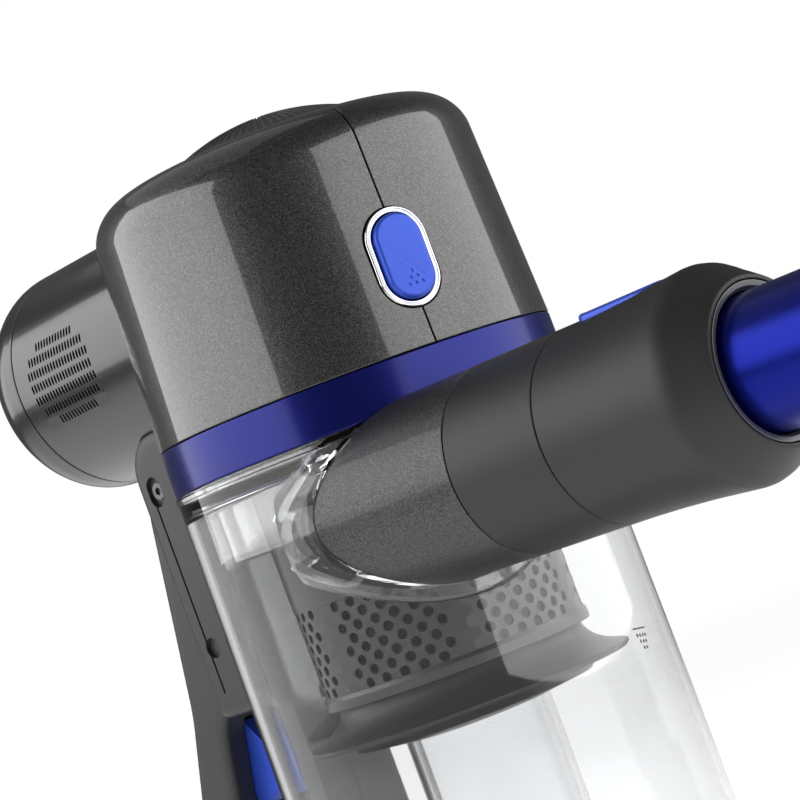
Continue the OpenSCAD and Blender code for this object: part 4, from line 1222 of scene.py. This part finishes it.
def buildMotor(setup):
    rowAngle = setup["rowPitch"] / motorR
    halfArc = setup["rows"] * rowAngle / 2
    y0 = setup["middle"] - setup["cols"] * setup["slotPitch"] / 2
    y1 = setup["middle"] + setup["cols"] * setup["slotPitch"] / 2
    front, back = motorFront, motorSplit
    inner = motorR - setup["wall"]
    # rings along the drum; the patch lies between the two middle ones
    stations = [front, front + 6, y0, y1, back - 1.2, back - 0.35, back - 0.1, back]
    reach = [motorR, motorR, motorR, motorR, motorR, motorR, motorR - 0.1, motorR - 0.35]
    cuts = []
    for side in (0, 1):
        middle = side * math.pi
        cuts += [middle - halfArc + k * rowAngle / 4 for k in range(setup["rows"] * 4 + 1)]
        gap = math.pi - 2 * halfArc
        cuts += [middle + halfArc + gap * k / 44 for k in range(1, 44)]
    count = len(cuts)
    half = setup["rows"] * 4
    points, faces = [], []
    for y, r in list(zip(stations, reach)) + [(back, inner), (front, inner)]:
        for a in cuts:
            points.append((r * math.cos(a), y, motorZ + r * math.sin(a)))
    rings = len(stations) + 2
    for k in range(rings):
        t = (k + 1) % rings
        for i in range(count):
            j = (i + 1) % count
            inPatch = k == 2 and (i % (count // 2)) < half
            # the outer wall is left open where each grille goes
            if not inPatch:
                faces.append((k * count + i, k * count + j, t * count + j, t * count + i))
    tidy = meshFrom("motorHousing", points, faces, 30)
    weighted(tidy)
    cell = slotCell("slotCell", setup["rowPitch"], setup["slotPitch"], setup["slotLong"], setup["slotWide"],
                    1.8, True)
    plain = slotCell("plainSlot", setup["rowPitch"], setup["slotPitch"], 0, 0, 0, False)
    patches = []
    for side in (0, 1):
        patch = runTree("grillePatch", gridTree, gridIds, {
            "columns": setup["rows"], "rows": setup["cols"], "pitch": setup["rowPitch"] * mm,
            "rowPitch": setup["slotPitch"] * mm, "stagger": 0.0, "radius": motorR * mm, "panel": 100.0,
            "bar": -1.0,
            "oval": setup["oval"], "pierced": cell, "plain": plain, "material": finishes["gloss_black"]})
        turn = Matrix(((1, 0, 0, 0), (0, 0, 1, 0), (0, 1, 0, 0), (0, 0, 0, 1)))
        spin = Matrix.Rotation(side * math.pi, 4, "Y")
        patch.data.transform(Matrix.Translation((0, setup["middle"] * mm, motorZ * mm)) @ spin @ turn)
        patch.data.flip_normals()
        radialShade(patch, (0, 0, motorZ), 1)
        patches.append(patch)
    bpy.data.objects.remove(cell)
    bpy.data.objects.remove(plain)
    # the cut that clears the pod is made on the plain drum
    tool = spun("podTool", [(0, ringTop - 2), (57.0, ringTop - 2), (55.0, podHigh[2] + 8),
                            (0, podHigh[2] + 8)], cupAxis, segments=128)
    boolean(tidy, tool)
    radialShade(tidy, (0, 0, motorZ), 1, 0.99)
    finish(tidy, ["motor_housing"])
    for i, patch in enumerate(patches):
        patch.name = "motorGrille" + ("Right", "Left")[i]
        extra(patch, "motor_housing", finishes["gloss_black"])
    # painted shade: a dark lining inside the drum behind the grille slots
    shadeLining = spun("motorLining", [(inner - 0.6, y0 - 8), (inner - 0.2, y0 - 8), (inner - 0.2, y1 + 3),
                                  (inner - 0.6, y1 + 3)],
                  (0, 0, motorZ), "back", 96)
    extra(shadeLining, "motor_housing", shadeBlack)


def buildEndCap():
    l = capEnd - motorSplit - 0.3
    corner = 16
    outer = [(motorR - 0.35, l), (motorR - 0.1, l - 0.1), (motorR, l - 0.35), (motorR, l - 1.2)]
    outer += [(motorR, corner + 0.5)] + arcPoints(motorR - corner, corner, corner, 0, -90,
                                                  18)[0:] + [(8.6, 0), (7.9, 0.15), (7.5, 0.6)]
    inner = [(7.5, 3), (motorR - corner, 3), (motorR - 8, 6), (motorR - 2.6, corner), (motorR - 2.6, l)]
    profile = [(r, -h) for r, h in outer + inner]
    cap = spun("motorEndCap", profile, (0, capEnd, motorZ), "back", 144, smoothAngle=42)
    finish(cap, ["motor_end_cap"])
    key = rounded([(0, -5.6), (9, -5.6, 0.2), (9, -4.5, 0.2), (7, -4.5), (7, 0.6, 0.6), (5.4, 0.75, 0.5),
                   (4.6, 0.35, 0.6),
                   (0, 0.25)], closed=False)
    button = spun("modeButton", key, (0, capEnd, motorZ), "back", 96, closed=False, smoothAngle=40)
    finish(button, ["mode_button"])


buildMotor(motorSetup)
buildEndCap()
print("motor made")

# Handle
handleSetup = {
    "spineHalf": 26, "spineBack": 80, "neckTop": 24, "neckRound": 14, "webDrop": 66, "gripHalf": 16,
    "gripT": 31,
    "gripY": (93, 107, 119, 146), "voxel": 0.9, "soft": 5.5,
}


def sideSolid(name, outline, half, soft, cornerRadius=8, segments=4):
    # outline as (y, z, radius): extruded across and rounded along its long edges
    flat = rounded(outline, True, 6)
    turn = Matrix(((0, 0, 1, 0), (1, 0, 0, 0), (0, 1, 0, 0), (0, 0, 0, 1)))
    body = prism(name, flat, -half, half, turn)
    return softenEdges(body, soft, segments, 50)


def buildHandle(setup):
    dockTop = boxMm("battery_dock")[1][2]
    gy = setup["gripY"]
    gz = (ringZ, ringZ - 62, ringZ - 92, dockTop)
    web = ringZ - setup["webDrop"]
    back = setup["spineBack"]
    t = setup["gripT"]
    neck = ringZ + setup["neckTop"]
    loopY = gy[2] - t + 4
    spine = sideSolid("spine", [(50, web), (back, web, 3), (back, neck, setup["neckRound"]), (50, neck)],
                      setup["spineHalf"], 4.5)
    pillar = sideSolid("pillar", [(50, dockTop - 6), (73.9, dockTop - 6), (73.9, web + 6), (50, web + 6)],
                       setup["gripHalf"], 4.0)
    grip = sideSolid("grip", [
        (back - 12, gz[0] + 8), (gy[0] - 3, gz[0] + 8, 4), (gy[0], gz[0], 10), (gy[1], gz[1], 60),
        (gy[2], gz[2], 60),
        (gy[3], gz[3] - 6), (gy[3] - t, gz[3] - 6), (loopY, web + 2, 14), (back - 8, web + 4, 3),
        (back - 12, web + 14)],
        setup["gripHalf"], setup["soft"], segments=5)
    boolean(spine, pillar, "UNION")
    boolean(spine, grip, "UNION")
    remesh = spine.modifiers.new("blend", "REMESH")
    remesh.mode = "VOXEL"
    remesh.voxel_size = setup["voxel"] * mm
    smooth = spine.modifiers.new("smooth", "SMOOTH")
    smooth.factor = 0.5
    smooth.iterations = 5
    evaluated(spine)
    spine.data.shade_smooth()
    cutters = [
        spun("cupTool", [(0, -5), (62.5, -5), (62.5, ringZ + 0.2), (0, ringZ + 0.2)], cupAxis, segments=160),
        spun("ringTool", [(0, ringZ - 4), (60.3, ringZ - 4), (60.3, neck + 20), (0, neck + 20)], cupAxis,
             segments=160),
        bar("drumTool", motorR + 0.25, 20, 160, 0, motorZ, 128),
        prism("footTool", [(-60, -60), (60, -60), (60, 60), (-60, 60)], -20, dockTop + 0.2,
              Matrix.Translation((0, 110, 0))),
    ]
    for tool in cutters:
        boolean(spine, tool)
    # pocket behind the trigger
    trigLow, trigHigh = boxMm("trigger")
    turn = Matrix(((0, 0, 1, 0), (1, 0, 0, 0), (0, 1, 0, 0), (0, 0, 0, 1)))
    pocket = prism("pocketTool",
                   rounded([(trigLow[1] - 14, trigLow[2] - 3, 1), (trigHigh[1] + 4.2, trigLow[2] - 3, 2),
                                          (trigHigh[1] + 4.2, trigHigh[2] + 1, 2),
                                          (trigLow[1] - 14, trigHigh[2] + 1, 1)]),
                   -7.4, 7.4, turn)
    boolean(spine, pocket)
    # bed of the grip pad
    bed = padShape("bedTool", setup, gy, gz, 10.25, 0.25)
    boolean(spine, bed)
    # grooves that mark the strip behind the spine
    for side in (-1, 1):
        strip = prism("stripTool", [(72.6, web + 8), (73.4, web + 8), (73.4, neck - 15), (72.6, neck - 15)],
                      side * 25.2, side * 28, turn)
        boolean(spine, strip)
    # screw wells, oval on the neck
    for s in (-1, 1):
        for y, z, half, long in ((71.5, ringZ + 6, 26, 9.5), (71.0, web + 22, 26, 6.4)):
            outline = [(y + u, z + v) for u, v in stadiumOutline(long, 6.4, 16)]
            boolean(spine, prism("wellTool", outline, s * (half - 1.6), s * (half + 6), turn))
    for name, side, node in (("handleLeft", -1, "handle_left"), ("handleRight", 1, "handle_right")):
        mesh = spine.data.copy()
        half = newObject(name, mesh)
        slab = [(0.12 * side, -300), (60 * side, -300), (60 * side, 300), (0.12 * side, 300)]
        boolean(half, prism("halfTool", slab, -20, 300, Matrix.Identity(4)), "INTERSECT")
        finish(half, [node])
    bpy.data.objects.remove(spine)


def padShape(name, setup, gy, gz, half, grow):
    t = 2.2
    outline = [(gy[0] - t - grow, gz[0] - 6 + grow, 0.5), (gy[0] + 3, gz[0] - 6 + grow, 1.5),
               (gy[1] + 0.6 + grow, gz[1], 60), (gy[2] + 0.6 + grow, gz[2], 60),
               (gy[3] - 6 + grow, gz[3] + 14 - grow, 1.5), (gy[3] - 9 - t - grow, gz[3] + 14 - grow, 0.5),
               (gy[2] - t - grow, gz[2], 30), (gy[1] - t - grow, gz[1], 30)]
    turn = Matrix(((0, 0, 1, 0), (1, 0, 0, 0), (0, 1, 0, 0), (0, 0, 0, 1)))
    return prism(name, rounded(outline, True, 5), -half, half, turn)


def buildPad(setup):
    dockTop = boxMm("battery_dock")[1][2]
    gy = setup["gripY"]
    gz = (ringZ, ringZ - 62, ringZ - 92, dockTop)
    pad = padShape("gripPad", setup, gy, gz, 10, 0)
    softenEdges(pad, 1.0, 3, 40)
    finish(pad, ["grip_pad"])


buildHandle(handleSetup)
buildPad(handleSetup)
print("handle made")

# Smaller pieces that keep the frame's shape, with rounded edges
softList = [
    ("trigger", "trigger", 1.2, 3), ("battery_dock", "batteryDock", 1.0, 3),
    ("battery_case", "batteryCase", 1.4, 4),
    ("battery_latch_left", "batteryLatchLeft", 0.7, 2), ("battery_latch_right", "batteryLatchRight", 0.7, 2),
    ("cup_lid", "cupLid", 0.8, 3), ("lid_latch", "lidLatch", 0.6, 2),
    ("lid_hinge_pin", "lidHingePin", 0.3, 2),
    ("latch_pin", "latchPin", 0.3, 2), ("handle_screws", "handleScrews", 0.15, 2),
    ("charge_socket", "chargeSocket", 0.2, 2), ("wand_socket", "wandSocket", 0.25, 2),
    ("fine_dust_tube", "fineDustTube", 0.3, 2),
]
for node, name, width, segments in softList:
    finish(softened(node, name, width, segments), [node])
print("smaller pieces made")


# Studio
studioSetup = {"worldSeen": 1.0, "worldLit": 0.1, "floorR": 1.6}
lightSetup = {
    "leftBox": {"spot": (-0.80, 0.52, 0.67), "aim": (0, 0, 0.67), "width": 1.7, "height": 0.96, "power": 14},
    "rightBox": {"spot": (0.41, -0.857, 0.5), "aim": (0, 0, 0.5), "width": 2.0, "height": 0.9, "power": 13},
    "topBox": {"spot": (-0.1, 0.35, 1.05), "aim": (0, 0, 0.2), "width": 1.0, "height": 0.9, "power": 0.8},
}


def buildWorld(setup):
    world = bpy.data.worlds.new("studioWorld")
    bpy.context.scene.world = world
    world.use_nodes = True
    tree = world.node_tree
    tree.nodes.clear()
    rays = place(tree, "ShaderNodeLightPath")
    node = rays.socket.node
    seen = Wire(tree, node.outputs["Is Camera Ray"]).math("MAXIMUM",
                                                          Wire(tree, node.outputs["Is Transmission Ray"]))
    strength = seen * (setup["worldSeen"] - setup["worldLit"]) + setup["worldLit"]
    glow = place(tree, "ShaderNodeBackground", None, {0: (1, 1, 1, 1), 1: strength})
    out = tree.nodes.new("ShaderNodeOutputWorld")
    tree.links.new(glow.socket, out.inputs[0])


def softBox(name, spot, aim, width, height, power, shade=(1, 1, 1)):
    data = bpy.data.lights.new(name, "AREA")
    data.shape = "RECTANGLE"
    data.size = width
    data.size_y = height
    data.energy = power
    data.color = shade
    box = bpy.data.objects.new(name, data)
    way = (Vector(aim) - Vector(spot)).normalized()
    box.matrix_world = Matrix.Translation(spot) @ way.to_track_quat("-Z", "Y").to_matrix().to_4x4()
    box.visible_camera = False
    bpy.context.scene.collection.objects.link(box)
    return box


def buildFloor(setup):
    r = setup["floorR"]
    points = [(r * 1000 * math.cos(2 * math.pi * k / 64), r * 1000 * math.sin(2 * math.pi * k / 64),
               -0.6) for k in range(64)]
    floor = meshFrom("studioFloor", points, [tuple(range(64))], recalc=False)
    material = bpy.data.materials.new("studioFloor")
    material.use_nodes = True
    tree = material.node_tree
    tree.nodes.clear()
    coords = place(tree, "ShaderNodeTexCoord", out=3)
    far = place(tree, "ShaderNodeVectorMath", {"operation": "LENGTH"}, {0: coords}, out=1)
    fade = place(tree, "ShaderNodeMapRange", None, {0: far, 1: 0.45, 2: r * 0.95, 3: 0.0, 4: 1.0})
    matte = place(tree, "ShaderNodeBsdfDiffuse", None, {0: (0.86, 0.86, 0.86, 1)})
    glow = place(tree, "ShaderNodeEmission", None, {0: (1, 1, 1, 1), 1: 0.62})
    both = place(tree, "ShaderNodeAddShader", None, {0: matte, 1: glow})
    clear = place(tree, "ShaderNodeBsdfTransparent")
    shown = place(tree, "ShaderNodeMixShader", None, {0: fade, 1: both, 2: clear})
    out = tree.nodes.new("ShaderNodeOutputMaterial")
    tree.links.new(shown.socket, out.inputs[0])
    floor.data.materials.append(material)


buildWorld(studioSetup)
buildFloor(studioSetup)
for boxName, box in lightSetup.items():
    softBox(boxName, box["spot"], box["aim"], box["width"], box["height"], box["power"])
bpy.context.scene.view_settings.view_transform = "Standard"
print("studio made")
